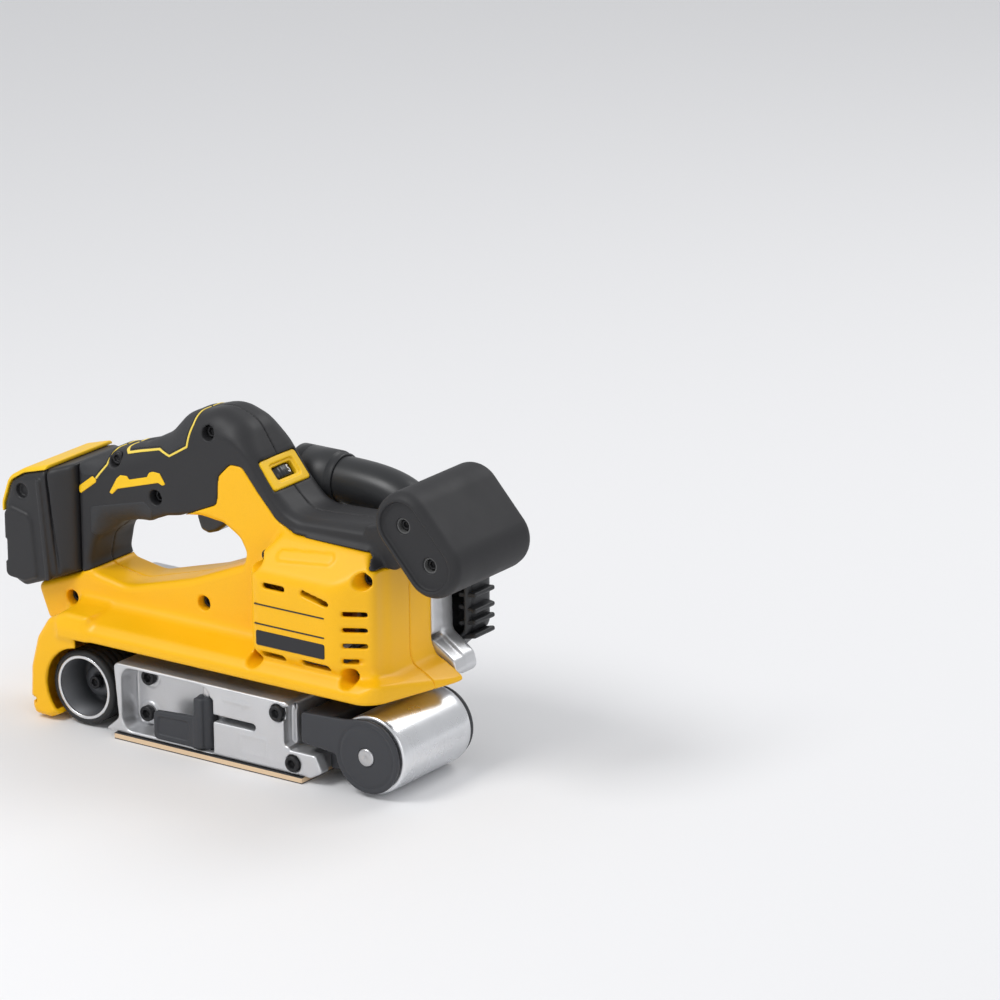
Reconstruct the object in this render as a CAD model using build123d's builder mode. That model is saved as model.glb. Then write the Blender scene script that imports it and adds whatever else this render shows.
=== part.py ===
"""Handheld cordless belt sander, 75 mm wide belt, built as separate pieces.

Frame: +X points to the front (idler roller) end, -Y to the open side that the belt
slides off, +Z up.  The origin is the centre of the sole's rubbing face.  Millimetres.
"""

from build123d import *
import os
from math import atan2, cos, hypot, pi, sin

os.makedirs("parts", exist_ok=True)

# ---------------------------------------------------------------- driving dimensions
BELT_WIDTH = 75.0
ROLLER_Y = 31.0                      # half length of both rollers
DRUM_X, DRUM_Z, DRUM_R = -91.3, 22.6, 21.4
IDLER_X, IDLER_Z, IDLER_R = 106.6, 23.4, 22.2
MOTOR_X, MOTOR_Z = 64.0, 95.0

MID_Y = 8.0                          # parting plane of the two casing halves
BODY_NEAR, BODY_FAR = -12.0, 28.0    # width of the spine and the handle
SKIRT_NEAR, SKIRT_FAR = -37.0, 30.0
BUMP_NEAR = -34.0                    # motor housing's outer face
GUARD_NEAR = -34.0
FRAME_NEAR, FRAME_FAR = -36.0, 39.0  # platen frame, cantilevered from the drive casting
CAST_FAR = 50.0
COVER_FAR = 74.0
WALL = 3.0
PLAY = 0.03                          # radial clearance of a running fit
GAP = 0.3                            # clearance between faces that only pass each other

SHAFT_R = 4.0                        # rotor and idler shafts
DRUM_SHAFT_R = 6.0
SMALL_BEARING = (9.5, 6.0)           # outer radius, width
IDLER_BEARING = (11.0, 7.0)
DRUM_BEARING = (11.0, 8.0)
BELT_PLANE = (54.5, 63.5)            # y range of the toothed drive belt
TOOTH_PITCH = 3.0
MOTOR_TEETH, DRUM_TEETH = 12, 32
BELT_THICK = 1.8

PIVOT_X = 70.0                       # steering pivot of the yoke
LEVER_PIN = (-4.8, -29.5)            # x, y of the tension lever's pin
TRIGGER_PIVOT = (-14.0, 128.0)
HANDLE_PIVOT = (113.0, 138.0)
DIAL_R, DIAL_WIDTH = 12.0, 6.6
LOCK_AT = (-33.0, 152.0)
TRACKING_AT = (74.0, 30.0)
DUST_Y, DUST_Z = 44.5, 146.0         # centre line of the dust tube beside the handle
OUTLET_BORE = 13.4

SLOPE = Plane(origin=(22.0, MID_Y, 158.6), x_dir=(0.628, 0, -0.778), z_dir=(0.778, 0, 0.628))
DIAL_CENTRE = SLOPE.origin - SLOPE.z_dir * (DIAL_R - 0.6)

# ---------------------------------------------------------------- outlines, (x, z)
BODY_OUTLINE = [
    (-131, 49), (-139, 69.5), (-107, 81.7), (-107, 145), (-89, 154), (-66, 161), (-47, 172),
    (-33, 185), (-12, 191), (5, 184), (16, 165), (28, 152), (42, 138), (98, 142), (103, 132),
    (104, 54), (-100, 54),
]
BODY_RADII = [4, 4, 1, 2, 14, 20, 20, 14, 14, 12, 30, 60, 14, 4, 3, 2, 2]
WINDOW = [
    (-101, 84), (-97, 102), (-84, 113), (-60, 119), (-47, 125), (-43, 117.5), (-35, 122),
    (-22, 124), (-8, 115), (-4, 101), (-30, 92), (-75, 79.5),
]
WINDOW_RADII = [6, 12, 12, 20, 3, 2, 8, 14, 10, 8, 30, 20]
GRIP_REGION = [
    (-107, 81.7), (-101, 84), (-62, 100), (-47.5, 122), (-31, 129), (-11, 140), (-11, 156),
    (0, 163), (8, 163), (19, 150), (32, 136), (46, 132), (130, 132), (130, 220), (-107, 220),
]
BUMP_OUTLINE = [
    (24, 66), (34, 58), (92, 58), (104, 70), (104, 120), (92, 132), (38, 132), (24, 112),
]
GUARD_OUTLINE = [
    (-84, 62), (-108, 62), (-120, 45), (-126, 24), (-127, 8), (-124, 2), (-113, 1.5),
    (-100, 8), (-84, 30),
]
DOCK_OUTLINE = [
    (-107.4, 82.2), (-139.4, 70.0), (-147, 73), (-152, 85), (-152, 117), (-147, 131),
    (-137, 137), (-107.4, 145),
]
FRAME_OUTLINE = [
    (-73, 4.2), (-63, 12), (-66, 44), (55, 44), (55, 17.2), (72.5, 17.2), (77, 8), (69, 3.6),
    (-68, 3.6),
]
POCKET = (-60.5, 1.2, 4.8, 42.0)     # x low, x high, z low, z high of the lever's bay
POCKET_FLOOR = -23.0
CHANNEL_Y, CHANNEL_Z = 16.0, (21.5, 34.0)
CAST_OUTLINE = [
    (-110, 3), (-118, 22), (-114, 56), (-104, 72), (-72, 72), (-50, 68), (14, 74), (30, 126),
    (92, 128), (103, 116), (104, 72), (118, 62), (121, 52), (108, 49), (96, 46), (92, 4),
]
COVER_FRONT = [(20, 60), (30, 54), (96, 54), (113, 70), (113, 118), (104, 127), (34, 127)]
KNOB_CENTRE, KNOB_TILT = (135.5, 145.5), -48.0
KNOB_LENGTH, KNOB_THICK = 62.0, 36.0
KNOB_NEAR, KNOB_FAR = -30.0, 44.0
KNOB_HOLES = [(127.0, 155.0), (144.0, 136.0)]

BODY_SCREWS = [(29, 118), (29, 64), (98, 118), (92, 64)]
SPINE_SCREWS = [(-113, 66), (-20, 80)]
GRIP_SCREWS = [(-82, 151), (-52, 135), (-15, 178)]
FRAME_SCREWS_DEEP = [(-48.9, 35.5), (-50.4, 14.1)]
FRAME_SCREWS_FACE = [(47.5, 37.0), (57.7, 10.0)]
COVER_SCREWS = [(-91.3, 50), (31, 101), (98, 100), (60, 61)]


# ---------------------------------------------------------------- shared helpers
def side_plane(y):
    """A plane facing -Y at the given y, whose local axes are X and Z."""
    return Plane.XZ.offset(-y)


def slab(points, y_low, y_high, radius=0.0, mode=Mode.ADD):
    """Extrude an (x, z) outline across the width, its corners rounded by radius."""
    with BuildSketch(side_plane(y_low)) as section:
        with BuildLine():
            if radius:
                FilletPolyline(*points, radius=radius, close=True)
            else:
                Polyline(*points, close=True)
        make_face()
    extrude(section.sketch, amount=y_high - y_low, dir=(0, 1, 0), mode=mode)


def rod(x, z, radius, y_low, y_high, mode=Mode.ADD):
    """A cylinder lying along Y."""
    with Locations((x, (y_low + y_high) / 2, z)):
        Cylinder(radius, y_high - y_low, rotation=(90, 0, 0), mode=mode)


def post(x, y, radius, z_low, z_high, mode=Mode.ADD):
    """A cylinder standing along Z."""
    with Locations((x, y, (z_low + z_high) / 2)):
        Cylinder(radius, z_high - z_low, mode=mode)


def block(x_range, y_range, z_range, mode=Mode.ADD):
    """A box between two limits on each axis."""
    size = [high - low for low, high in (x_range, y_range, z_range)]
    centre = [(high + low) / 2 for low, high in (x_range, y_range, z_range)]
    with Locations(tuple(centre)):
        Box(*size, mode=mode)


def screw(x, z, y_head, y_tip, head_r, shank_r):
    """A socket head screw along +Y, its head's outer face at y_head."""
    head_height = head_r
    rod(x, z, head_r, y_head, y_head + head_height)
    rod(x, z, shank_r, y_head + head_height, y_tip)
    with BuildSketch(side_plane(y_head)) as socket:
        with Locations((x, z)):
            RegularPolygon(head_r * 0.55, 6)
    extrude(socket.sketch, amount=head_height * 0.6, dir=(0, 1, 0), mode=Mode.SUBTRACT)


def screw_post(x, z, y_face, y_head, y_end):
    """A boss with a counterbored screw hole, sunk from y_face to a seat at y_head."""
    rod(x, z, 5.6, y_face + 0.5, y_end)
    rod(x, z, 3.9, y_face - 6, y_head, mode=Mode.SUBTRACT)
    rod(x, z, 1.8, y_head, y_end - 3, mode=Mode.SUBTRACT)


# ---------------------------------------------------------------- casing
def body_section(inset=0.0):
    """The side view of spine, web, handle and neck, with the finger window open."""
    with BuildSketch(side_plane(0)) as section:
        with BuildLine():
            FilletPolyline(*BODY_OUTLINE, radius=BODY_RADII, close=True)
        make_face()
        if inset:
            offset(amount=-inset, kind=Kind.INTERSECTION)
        with BuildSketch(side_plane(0), mode=Mode.PRIVATE) as hole:
            with BuildLine():
                FilletPolyline(*WINDOW, radius=WINDOW_RADII, close=True)
            make_face()
            if inset:
                offset(amount=inset)
        add(hole.sketch, mode=Mode.SUBTRACT)
    return section.sketch


def body_solid(inset=0.0):
    """Spine, web and handle as one solid, narrower by inset all round."""
    with BuildPart() as body:
        with Locations((0, BODY_NEAR + inset, 0)):
            add(body_section(inset))
        extrude(amount=BODY_FAR - BODY_NEAR - 2 * inset, dir=(0, 1, 0))
    return body.part


def skirt_solid(inset=0.0):
    """The long shelf over the rollers, sloping to the front and to the open side."""
    low = 51.5
    near, far, rear, front = SKIRT_NEAR + inset, SKIRT_FAR - inset, -104 + inset, 125 - inset
    cross = [(near, low), (near, 57 - inset), (near + 5, 62 - inset),
             (BODY_NEAR, 68 - inset), (far, 68 - inset), (far, low)]
    length = [(rear, low), (rear, 68 - inset), (101, 68 - inset), (116 - inset, 61 - inset),
              (front, max(54 - inset, low + 0.6)), (front, low)]
    with BuildPart() as skirt:
        with BuildSketch(Plane.YZ.offset(rear)) as profile:
            with BuildLine():
                Polyline(*cross, close=True)
            make_face()
        extrude(amount=front - rear)
        slab(length, near, far, mode=Mode.INTERSECT)
        with BuildSketch(Plane.XY.offset(low)) as plan:
            with BuildLine():
                FilletPolyline((rear, near), (front - 2, near), (front + 2, far), (rear, far),
                               radius=[2, 13 - inset, 2, 2], close=True)
            make_face()
        extrude(amount=30, mode=Mode.INTERSECT)
    return skirt.part


def guard_solid(inset=0.0):
    """The hood that wraps the rear drum."""
    with BuildPart() as guard:
        slab(GUARD_OUTLINE, GUARD_NEAR + inset, SKIRT_FAR - inset, radius=4)
        if inset:
            slab([(-84, 59), (-105, 59), (-116.6, 44), (-122.8, 24), (-123.8, 8), (-122, 5.2),
                  (-113.5, 5), (-84, 30)],
                 GUARD_NEAR + inset, SKIRT_FAR - inset, radius=1, mode=Mode.INTERSECT)
        rod(DRUM_X, DRUM_Z, DRUM_R + 2.0 + inset, GUARD_NEAR - 1, SKIRT_FAR + 1,
            mode=Mode.SUBTRACT)
        block((DRUM_X - 2, 0), (-60, 60), (-10, 51.5), mode=Mode.SUBTRACT)
    return guard.part


def bump_solid(inset=0.0):
    """The motor housing that stands out on the open side."""
    with BuildPart() as bump:
        slab(BUMP_OUTLINE, BUMP_NEAR + inset, MID_Y + 6, radius=5)
        if inset:
            block((24 + inset, 104 - inset), (BUMP_NEAR + inset, MID_Y + 6),
                  (58 + inset, 132 - inset), mode=Mode.INTERSECT)
    return bump.part


def grip_region():
    """Everything above the line where the black grip meets the yellow casing."""
    with BuildPart() as region:
        slab(GRIP_REGION, -80, 80)
    return region.part


def trigger_slot():
    """Room for the trigger's blade over its whole travel."""
    with BuildPart() as slot:
        block((-47, -9), (-1.5, 17.5), (104, 139))
    return slot.part


def bezel_seat():
    """The recess in the slope that the speed wheel's frame sits in."""
    with BuildPart(SLOPE) as seat:
        with Locations((0, 0, -1)):
            Box(18.5, 32, 6)
    return seat.part


def dial_room():
    """Window and clearance for the speed wheel."""
    with BuildPart(SLOPE) as room:
        Box(7.6, 17.2, 12)
    with BuildPart(Plane(origin=DIAL_CENTRE, x_dir=(0, 1, 0), z_dir=SLOPE.x_dir)) as wheel:
        Cylinder(DIAL_R + 0.5, DIAL_WIDTH + 1.0)
    return room.part + wheel.part


def elbow_room():
    """Space on the far side that the dust elbow's foot drops through."""
    with BuildPart() as room:
        post(86, DUST_Y, 15.5, 128.2, 160)
    return room.part


def yellow_casing():
    """Both yellow halves before they are parted."""
    with BuildPart() as casing:
        add(body_solid())
        add(bump_solid())
        add(skirt_solid())
        add(guard_solid())
        add(grip_region(), mode=Mode.SUBTRACT)
        add(body_solid(WALL), mode=Mode.SUBTRACT)
        add(bump_solid(WALL), mode=Mode.SUBTRACT)
        add(skirt_solid(WALL), mode=Mode.SUBTRACT)
        add(guard_solid(WALL), mode=Mode.SUBTRACT)
        block((-101, 100), (-34.1, 27), (50, 58), mode=Mode.SUBTRACT)
        for x, z in BODY_SCREWS:
            screw_post(x, z, BUMP_NEAR, BUMP_NEAR + 6, 25)
        for x, z in SPINE_SCREWS:
            screw_post(x, z, BODY_NEAR, BODY_NEAR + 7, 25)
        rod(MOTOR_X, MOTOR_Z, SMALL_BEARING[0] + 3, BUMP_NEAR + 1, BUMP_NEAR + 9.5)
        rod(MOTOR_X, MOTOR_Z, SMALL_BEARING[0] + 0.02, BUMP_NEAR + 3, BUMP_NEAR + 10,
            mode=Mode.SUBTRACT)
        rod(MOTOR_X, MOTOR_Z, 29.0, 20, BODY_FAR + 1, mode=Mode.SUBTRACT)
        for row in range(4):
            block((97, 110), (-28, -14), (76 + 9 * row, 79.5 + 9 * row), mode=Mode.SUBTRACT)
        add(trigger_slot(), mode=Mode.SUBTRACT)
        add(elbow_room(), mode=Mode.SUBTRACT)
    return casing.part


def black_grip():
    """Both halves of the black grip, neck and front deck before they are parted."""
    with BuildPart() as grip:
        add(body_solid())
        add(grip_region(), mode=Mode.INTERSECT)
        add(body_solid(WALL), mode=Mode.SUBTRACT)
        block((-108, -103), (-6, 22), (92, 138), mode=Mode.SUBTRACT)
        for x, z in GRIP_SCREWS:
            screw_post(x, z, BODY_NEAR, BODY_NEAR + 7, 25)
        for y_low, y_high in ((BODY_NEAR, -3.3), (19.3, BODY_FAR)):
            slab([(92, 132.2), (92, 144), (108, 147.3), (118, 147.3), (122.3, 140),
                  (122.3, 134), (118, 128.5), (106, 128.5), (104.2, 132.2)],
                 y_low, y_high, radius=2)
        rod(HANDLE_PIVOT[0], HANDLE_PIVOT[1], 4.02, BODY_NEAR - 1, BODY_FAR + 1,
            mode=Mode.SUBTRACT)
        add(bezel_seat(), mode=Mode.SUBTRACT)
        add(dial_room(), mode=Mode.SUBTRACT)
        rod(LOCK_AT[0], LOCK_AT[1], 5.0 + GAP, 20, BODY_FAR + 1, mode=Mode.SUBTRACT)
        add(trigger_slot(), mode=Mode.SUBTRACT)
        add(elbow_room(), mode=Mode.SUBTRACT)
    return grip.part


def halved(shape, near):
    """The near (-Y) or far (+Y) half of a casing, parted at the mid plane."""
    with BuildPart() as half:
        add(shape)
        split(bisect_by=Plane.XZ.offset(-MID_Y), keep=Keep.TOP if near else Keep.BOTTOM)
    return half.part


def battery_dock():
    """The block behind the neck that a battery slides up into, on two rails."""
    with BuildPart() as dock:
        slab(DOCK_OUTLINE, MID_Y - 32, MID_Y + 32)
        chamfer(dock.edges().filter_by(Axis.Z, reverse=True).group_by(Axis.Y)[0], 4)
        chamfer(dock.edges().filter_by(Axis.Z, reverse=True).group_by(Axis.Y)[-1], 4)
        block((-153, -141), (MID_Y - 23, MID_Y + 23), (66, 126), mode=Mode.SUBTRACT)
        for side in (-1, 1):
            block((-152, -148), (MID_Y + side * 21.5 - 2.5, MID_Y + side * 21.5 + 2.5),
                  (86, 118))
        block((-137, -106), (-6, 22), (92, 132), mode=Mode.SUBTRACT)
        block((-142, -136), (MID_Y - 12, MID_Y + 12), (94, 122), mode=Mode.SUBTRACT)
    return dock.part


def dock_bumper():
    """A soft yellow rim over the dock's top edge."""
    rim = [(-152.2, 112), (-152.2, 117.4), (-147.3, 131.4), (-137.2, 137.4), (-112, 144.1),
           (-112, 146), (-137.8, 140), (-148.8, 133), (-154.6, 118), (-154.6, 112)]
    with BuildPart() as bumper:
        slab(rim, MID_Y - 30, MID_Y + 30)
        block((-112.1, -100), (-60, 60), (100, 160), mode=Mode.SUBTRACT)
    return bumper.part


def terminal_block():
    """The insulating carrier of the battery contacts."""
    with BuildPart() as carrier:
        block((-141.6, -136.4), (MID_Y - 11.6, MID_Y + 11.6), (94.4, 121.6))
        for step in range(5):
            y = MID_Y + (step - 2) * 4.4
            block((-145, -134), (y - 0.4, y + 0.4), (98, 118), mode=Mode.SUBTRACT)
    return carrier.part


def terminal_blades():
    """Five contact blades pressed through the carrier."""
    with BuildPart() as blades:
        for step in range(5):
            y = MID_Y + (step - 2) * 4.4
            block((-147, -134), (y - 0.4, y + 0.4), (98, 118))
    return blades.part


def dial_bezel():
    """The raised yellow frame round the speed wheel's window."""
    with BuildPart(SLOPE) as bezel:
        with Locations((0, 0, -0.8)):
            Box(18.4, 31.8, 4.4)
        outward = Axis((0, 0, 0), SLOPE.z_dir)
        chamfer(bezel.faces().sort_by(outward)[-1].edges(), 0.8)
        Box(7.6, 17.2, 12, mode=Mode.SUBTRACT)
        add(dial_room(), mode=Mode.SUBTRACT)
    return bezel.part


def speed_dial():
    """The thumb wheel, turning about an axis that runs down the slope."""
    with BuildPart(Plane(origin=DIAL_CENTRE, x_dir=(0, 1, 0), z_dir=SLOPE.x_dir)) as dial:
        Cylinder(DIAL_R, DIAL_WIDTH)
        with PolarLocations(DIAL_R, 24):
            Box(0.7, 1.0, DIAL_WIDTH, mode=Mode.SUBTRACT)
        Cylinder(2.0 + PLAY, DIAL_WIDTH, mode=Mode.SUBTRACT)
    return dial.part


def dial_spindle():
    """The fixed pin of the speed wheel."""
    with BuildPart(Plane(origin=DIAL_CENTRE, x_dir=(0, 1, 0), z_dir=SLOPE.x_dir)) as spindle:
        Cylinder(2.0, DIAL_WIDTH + 0.9)
    return spindle.part


# ---------------------------------------------------------------- platen frame
def platen_frame():
    """The cast frame between the rollers, with the lever's bay and the yoke's channel."""
    x_low, x_high, z_low, z_high = POCKET
    with BuildPart() as frame:
        slab(FRAME_OUTLINE, FRAME_NEAR, FRAME_FAR, radius=1.2)
        slab([(x_low, z_low), (x_low, z_high), (x_high, z_high), (x_high, z_low)],
             FRAME_NEAR, POCKET_FLOOR, radius=6.5, mode=Mode.SUBTRACT)
        post(LEVER_PIN[0], LEVER_PIN[1], 8.3, z_low, 36, mode=Mode.SUBTRACT)
        block((LEVER_PIN[0] - 5, LEVER_PIN[0] + 8.0), (FRAME_NEAR - 1, LEVER_PIN[1]),
              (z_low, 36), mode=Mode.SUBTRACT)
        slab([(1.5, 23.3), (1.5, 27.1), (32.3, 27.1), (32.3, 23.3)], FRAME_NEAR, -10,
             mode=Mode.SUBTRACT)
        block((6, 90), (-CHANNEL_Y, CHANNEL_Y), CHANNEL_Z, mode=Mode.SUBTRACT)
        block((67, 90), (-28, 28), (4, 21), mode=Mode.SUBTRACT)
        block((-56, 0), (POCKET_FLOOR + 4, FRAME_FAR), (8, 40), mode=Mode.SUBTRACT)
        block((8, 50), (20, FRAME_FAR), (8, 40), mode=Mode.SUBTRACT)
        block((8, 36), (-15, 15), (7, 18.5), mode=Mode.SUBTRACT)
        block((6, 54), (-32, 38), (37.5, 41), mode=Mode.SUBTRACT)
        for x, z in FRAME_SCREWS_DEEP:
            rod(x, z, 5.4, POCKET_FLOOR + 1, FRAME_FAR)
            rod(x, z, 2.6, POCKET_FLOOR - 1, FRAME_FAR, mode=Mode.SUBTRACT)
        for x, z in FRAME_SCREWS_FACE:
            rod(x, z, 5.4, FRAME_NEAR + 1, FRAME_FAR)
            rod(x, z, 4.6, FRAME_NEAR - 1, FRAME_NEAR + 2.5, mode=Mode.SUBTRACT)
            rod(x, z, 2.6, FRAME_NEAR, FRAME_FAR, mode=Mode.SUBTRACT)
        post(LEVER_PIN[0], LEVER_PIN[1], 2.52, 3.7, 43.5, mode=Mode.SUBTRACT)
    return frame.part


def frame_screws():
    """Four black screws that fasten the frame to the drive casting."""
    with BuildPart() as screws:
        for x, z in FRAME_SCREWS_DEEP:
            screw(x, z, POCKET_FLOOR - 4.4, 48, 4.4, 2.5)
        for x, z in FRAME_SCREWS_FACE:
            screw(x, z, FRAME_NEAR - 1.9, 48, 4.4, 2.5)
    return screws.part


def cork_pad():
    """The springy cork layer under the frame."""
    with BuildPart() as cork:
        block((-64.7, 64.6), (-BELT_WIDTH / 2, BELT_WIDTH / 2), (0.6, 3.2))
    return cork.part


def sole_sheet():
    """The thin low-friction sheet that the belt rubs on."""
    with BuildPart() as sheet:
        block((-64.7, 64.6), (-BELT_WIDTH / 2, BELT_WIDTH / 2), (0, 0.6))
    return sheet.part


def sole_backing():
    """The thin steel backing between cork and frame."""
    with BuildPart() as backing:
        block((-64.7, 64.6), (-BELT_WIDTH / 2, BELT_WIDTH / 2), (3.2, 3.6))
    return backing.part


def lever_pin():
    """Hinge pin of the tension lever, fixed in the frame."""
    with BuildPart() as pin:
        post(LEVER_PIN[0], LEVER_PIN[1], 2.5, 3.8, 43.4)
    return pin.part


def tension_lever():
    """The swinging lever that slackens the belt."""
    x, y = LEVER_PIN
    with BuildPart() as lever:
        post(x, y, 5.4, 5.2, 34.5)
        block((-37.6, x), (-36.8, -33.2), (5.4, 23))
        block((x - 1, x + 1), (-36.8, -33.2), (5.4, 34.5))
        block((x - 5, x), (-34.9, -27), (5.4, 34.5))
        post(x, y, 2.5 + PLAY, 5, 35, mode=Mode.SUBTRACT)
        block((-30, -12), (-34.4, -33), (9, 20), mode=Mode.SUBTRACT)
    return lever.part


# ---------------------------------------------------------------- yoke and idler
def slide_bar():
    """The bar that carries the yoke along its channel in the frame."""
    with BuildPart() as bar:
        block((20, 75), (-9, 9), (22, 31))
        block((24, 30), (-14, -8), (23.4, 27))
        rod(20, 26.5, 3.2, -1, 1, mode=Mode.SUBTRACT)
        post(PIVOT_X, 0, 3.0 + PLAY, 20, 33, mode=Mode.SUBTRACT)
        with Locations((25, 0, 26.5)):
            Cylinder(4.2, 10.1, rotation=(0, 90, 0), mode=Mode.SUBTRACT)
    return bar.part


def tension_spring():
    """The coil spring that pushes the idler forward."""
    wire_r, coil_r, turns, length = 0.7, 3.0, 7, 21.6
    with BuildPart() as spring:
        with BuildLine() as path:
            Helix(pitch=length / turns, height=length, radius=coil_r,
                  center=(7.4, 0, 26.5), direction=(1, 0, 0))
        with BuildSketch(Plane(origin=path.line @ 0, z_dir=path.line % 0)) as wire:
            RegularPolygon(wire_r, 8)
        sweep(wire.sketch, path=path.line, is_frenet=True)
    return spring.part


def idler_yoke():
    """The fork that holds the front roller and steers with it."""
    plate = 3.0
    inner = ROLLER_Y + 1.4
    with BuildPart() as fork:
        for side in (-1, 1):
            y_low = min(side * inner, side * (inner + plate))
            rod(IDLER_X, IDLER_Z, 20.8, y_low, y_low + plate)
            slab([(63, 23), (63, 40.4), (96, 41.6), (104, 44.2), (100, 24), (84, 21.6)],
                 y_low, y_low + plate)
        block((63, 82), (-inner - 0.5, inner + 0.5), (22, 40))
        block((75.5, 84), (-26, 26), (8, 24))
        block((60, 76.5), (-9.8, 9.8), (20, 31.8), mode=Mode.SUBTRACT)
        post(PIVOT_X, 0, 3.02, 31, 41, mode=Mode.SUBTRACT)
        rod(IDLER_X, IDLER_Z, 5.02, -40, 40, mode=Mode.SUBTRACT)
    return fork.part


def steering_pin():
    """The upright pin that the yoke steers about."""
    with BuildPart() as pin:
        post(PIVOT_X, 0, 3.0, 22.4, 40)
    return pin.part


def idler_axle():
    """The idler's fixed axle, stepped where it sits in the yoke's plates."""
    with BuildPart() as axle:
        rod(IDLER_X, IDLER_Z, SHAFT_R, -32, 32)
        for side in (-1, 1):
            y_low = min(side * 31.6, side * 36.2)
            rod(IDLER_X, IDLER_Z, 5.0, y_low, y_low + 4.6)
        chamfer(axle.edges().filter_by(GeomType.CIRCLE).group_by(Axis.Y)[0], 0.5)
    return axle.part


def idler_roller():
    """The hollow front roller, closed by webs round its bearings."""
    width = IDLER_BEARING[1]
    with BuildPart() as roller:
        rod(IDLER_X, IDLER_Z, IDLER_R, -ROLLER_Y, ROLLER_Y)
        chamfer(roller.edges().filter_by(GeomType.CIRCLE), 0.8)
        rod(IDLER_X, IDLER_Z, IDLER_R - 3, -ROLLER_Y + width + 1, ROLLER_Y - width - 1,
            mode=Mode.SUBTRACT)
        rod(IDLER_X, IDLER_Z, IDLER_BEARING[0] + 0.01, -ROLLER_Y - 1, ROLLER_Y + 1,
            mode=Mode.SUBTRACT)
    return roller.part


def idler_bearings():
    """Two ball bearings, one in each end of the roller."""
    outer, width = IDLER_BEARING
    with BuildPart() as bearings:
        for y_low in (-ROLLER_Y + 0.5, ROLLER_Y - 0.5 - width):
            rod(IDLER_X, IDLER_Z, outer, y_low, y_low + width)
        rod(IDLER_X, IDLER_Z, SHAFT_R + PLAY, -40, 40, mode=Mode.SUBTRACT)
    return bearings.part


def tracking_knob():
    """The ribbed knob that trims the belt's run."""
    x, z = TRACKING_AT
    with BuildPart() as knob:
        rod(x, z, 11, 51, 66)
        fillet(knob.faces().sort_by(Axis.Y)[-1].edges(), 1.5)
        with Locations(side_plane(58.5)):
            with Locations((x, z)):
                with PolarLocations(11.4, 12):
                    Cylinder(1.2, 20, mode=Mode.SUBTRACT)
        rod(x, z, 2.52, 50, 60, mode=Mode.SUBTRACT)
    return knob.part


def tracking_screw():
    """The screw that the knob turns, its tip facing the yoke."""
    with BuildPart() as stem:
        rod(TRACKING_AT[0], TRACKING_AT[1], 2.5, 37.2, 60)
    return stem.part


# ---------------------------------------------------------------- drive
def drum_core():
    """The drum's hub, web and rim; the open end shows its hollow."""
    with BuildPart() as core:
        rod(DRUM_X, DRUM_Z, 18.5, -ROLLER_Y, ROLLER_Y)
        rod(DRUM_X, DRUM_Z, 16.6, -ROLLER_Y - 1, -8, mode=Mode.SUBTRACT)
        rod(DRUM_X, DRUM_Z, 16.6, -3, ROLLER_Y + 1, mode=Mode.SUBTRACT)
        rod(DRUM_X, DRUM_Z, 9.5, -18, -8)
        rod(DRUM_X, DRUM_Z, DRUM_SHAFT_R + 0.01, -12, 0, mode=Mode.SUBTRACT)
        rod(DRUM_X, DRUM_Z, 2.2, -19, -11, mode=Mode.SUBTRACT)
        rod(DRUM_X - 7, DRUM_Z - 9, 1.8, -12, -8)
    return core.part


def drum_rubber():
    """The rubber tyre bonded on the drum."""
    with BuildPart() as tyre:
        rod(DRUM_X, DRUM_Z, DRUM_R, -ROLLER_Y, ROLLER_Y)
        chamfer(tyre.edges().filter_by(GeomType.CIRCLE), 0.8)
        rod(DRUM_X, DRUM_Z, 18.51, -ROLLER_Y - 1, ROLLER_Y + 1, mode=Mode.SUBTRACT)
    return tyre.part


def drum_shaft():
    """The drum's driven shaft."""
    with BuildPart() as shaft:
        rod(DRUM_X, DRUM_Z, DRUM_SHAFT_R, -12, 66)
        chamfer(shaft.edges().filter_by(GeomType.CIRCLE), 0.5)
        rod(DRUM_X, DRUM_Z, 1.5, -13, 0, mode=Mode.SUBTRACT)
    return shaft.part


def drum_screw():
    """The screw that holds the drum on its shaft."""
    with BuildPart() as fastener:
        rod(DRUM_X, DRUM_Z, 1.48, -12, -1)
        rod(DRUM_X, DRUM_Z, 3.6, -21.5, -18)
        rod(DRUM_X, DRUM_Z, 2.0, -18, -12)
        with BuildSketch(side_plane(-21.5)) as socket:
            with Locations((DRUM_X, DRUM_Z)):
                RegularPolygon(2.2, 6)
        extrude(socket.sketch, amount=2.4, dir=(0, 1, 0), mode=Mode.SUBTRACT)
    return fastener.part


def pulley(x, z, teeth, bore):
    """A toothed pulley for the drive belt."""
    radius = teeth * TOOTH_PITCH / (2 * pi) - 0.3
    with BuildPart() as wheel:
        rod(x, z, radius, BELT_PLANE[0] - 0.5, BELT_PLANE[1] + 0.5)
        with Locations(side_plane((BELT_PLANE[0] + BELT_PLANE[1]) / 2)):
            with Locations((x, z)):
                with PolarLocations(radius + 0.1, teeth):
                    Cylinder(0.75, 20, mode=Mode.SUBTRACT)
        rod(x, z, bore + 0.01, 50, 70, mode=Mode.SUBTRACT)
    return wheel.part


def drum_pulley():
    """The large pulley on the drum's shaft."""
    return pulley(DRUM_X, DRUM_Z, DRUM_TEETH, DRUM_SHAFT_R)


def motor_pulley():
    """The small pulley on the rotor's shaft."""
    return pulley(MOTOR_X, MOTOR_Z, MOTOR_TEETH, SHAFT_R - 0.5)


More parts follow.
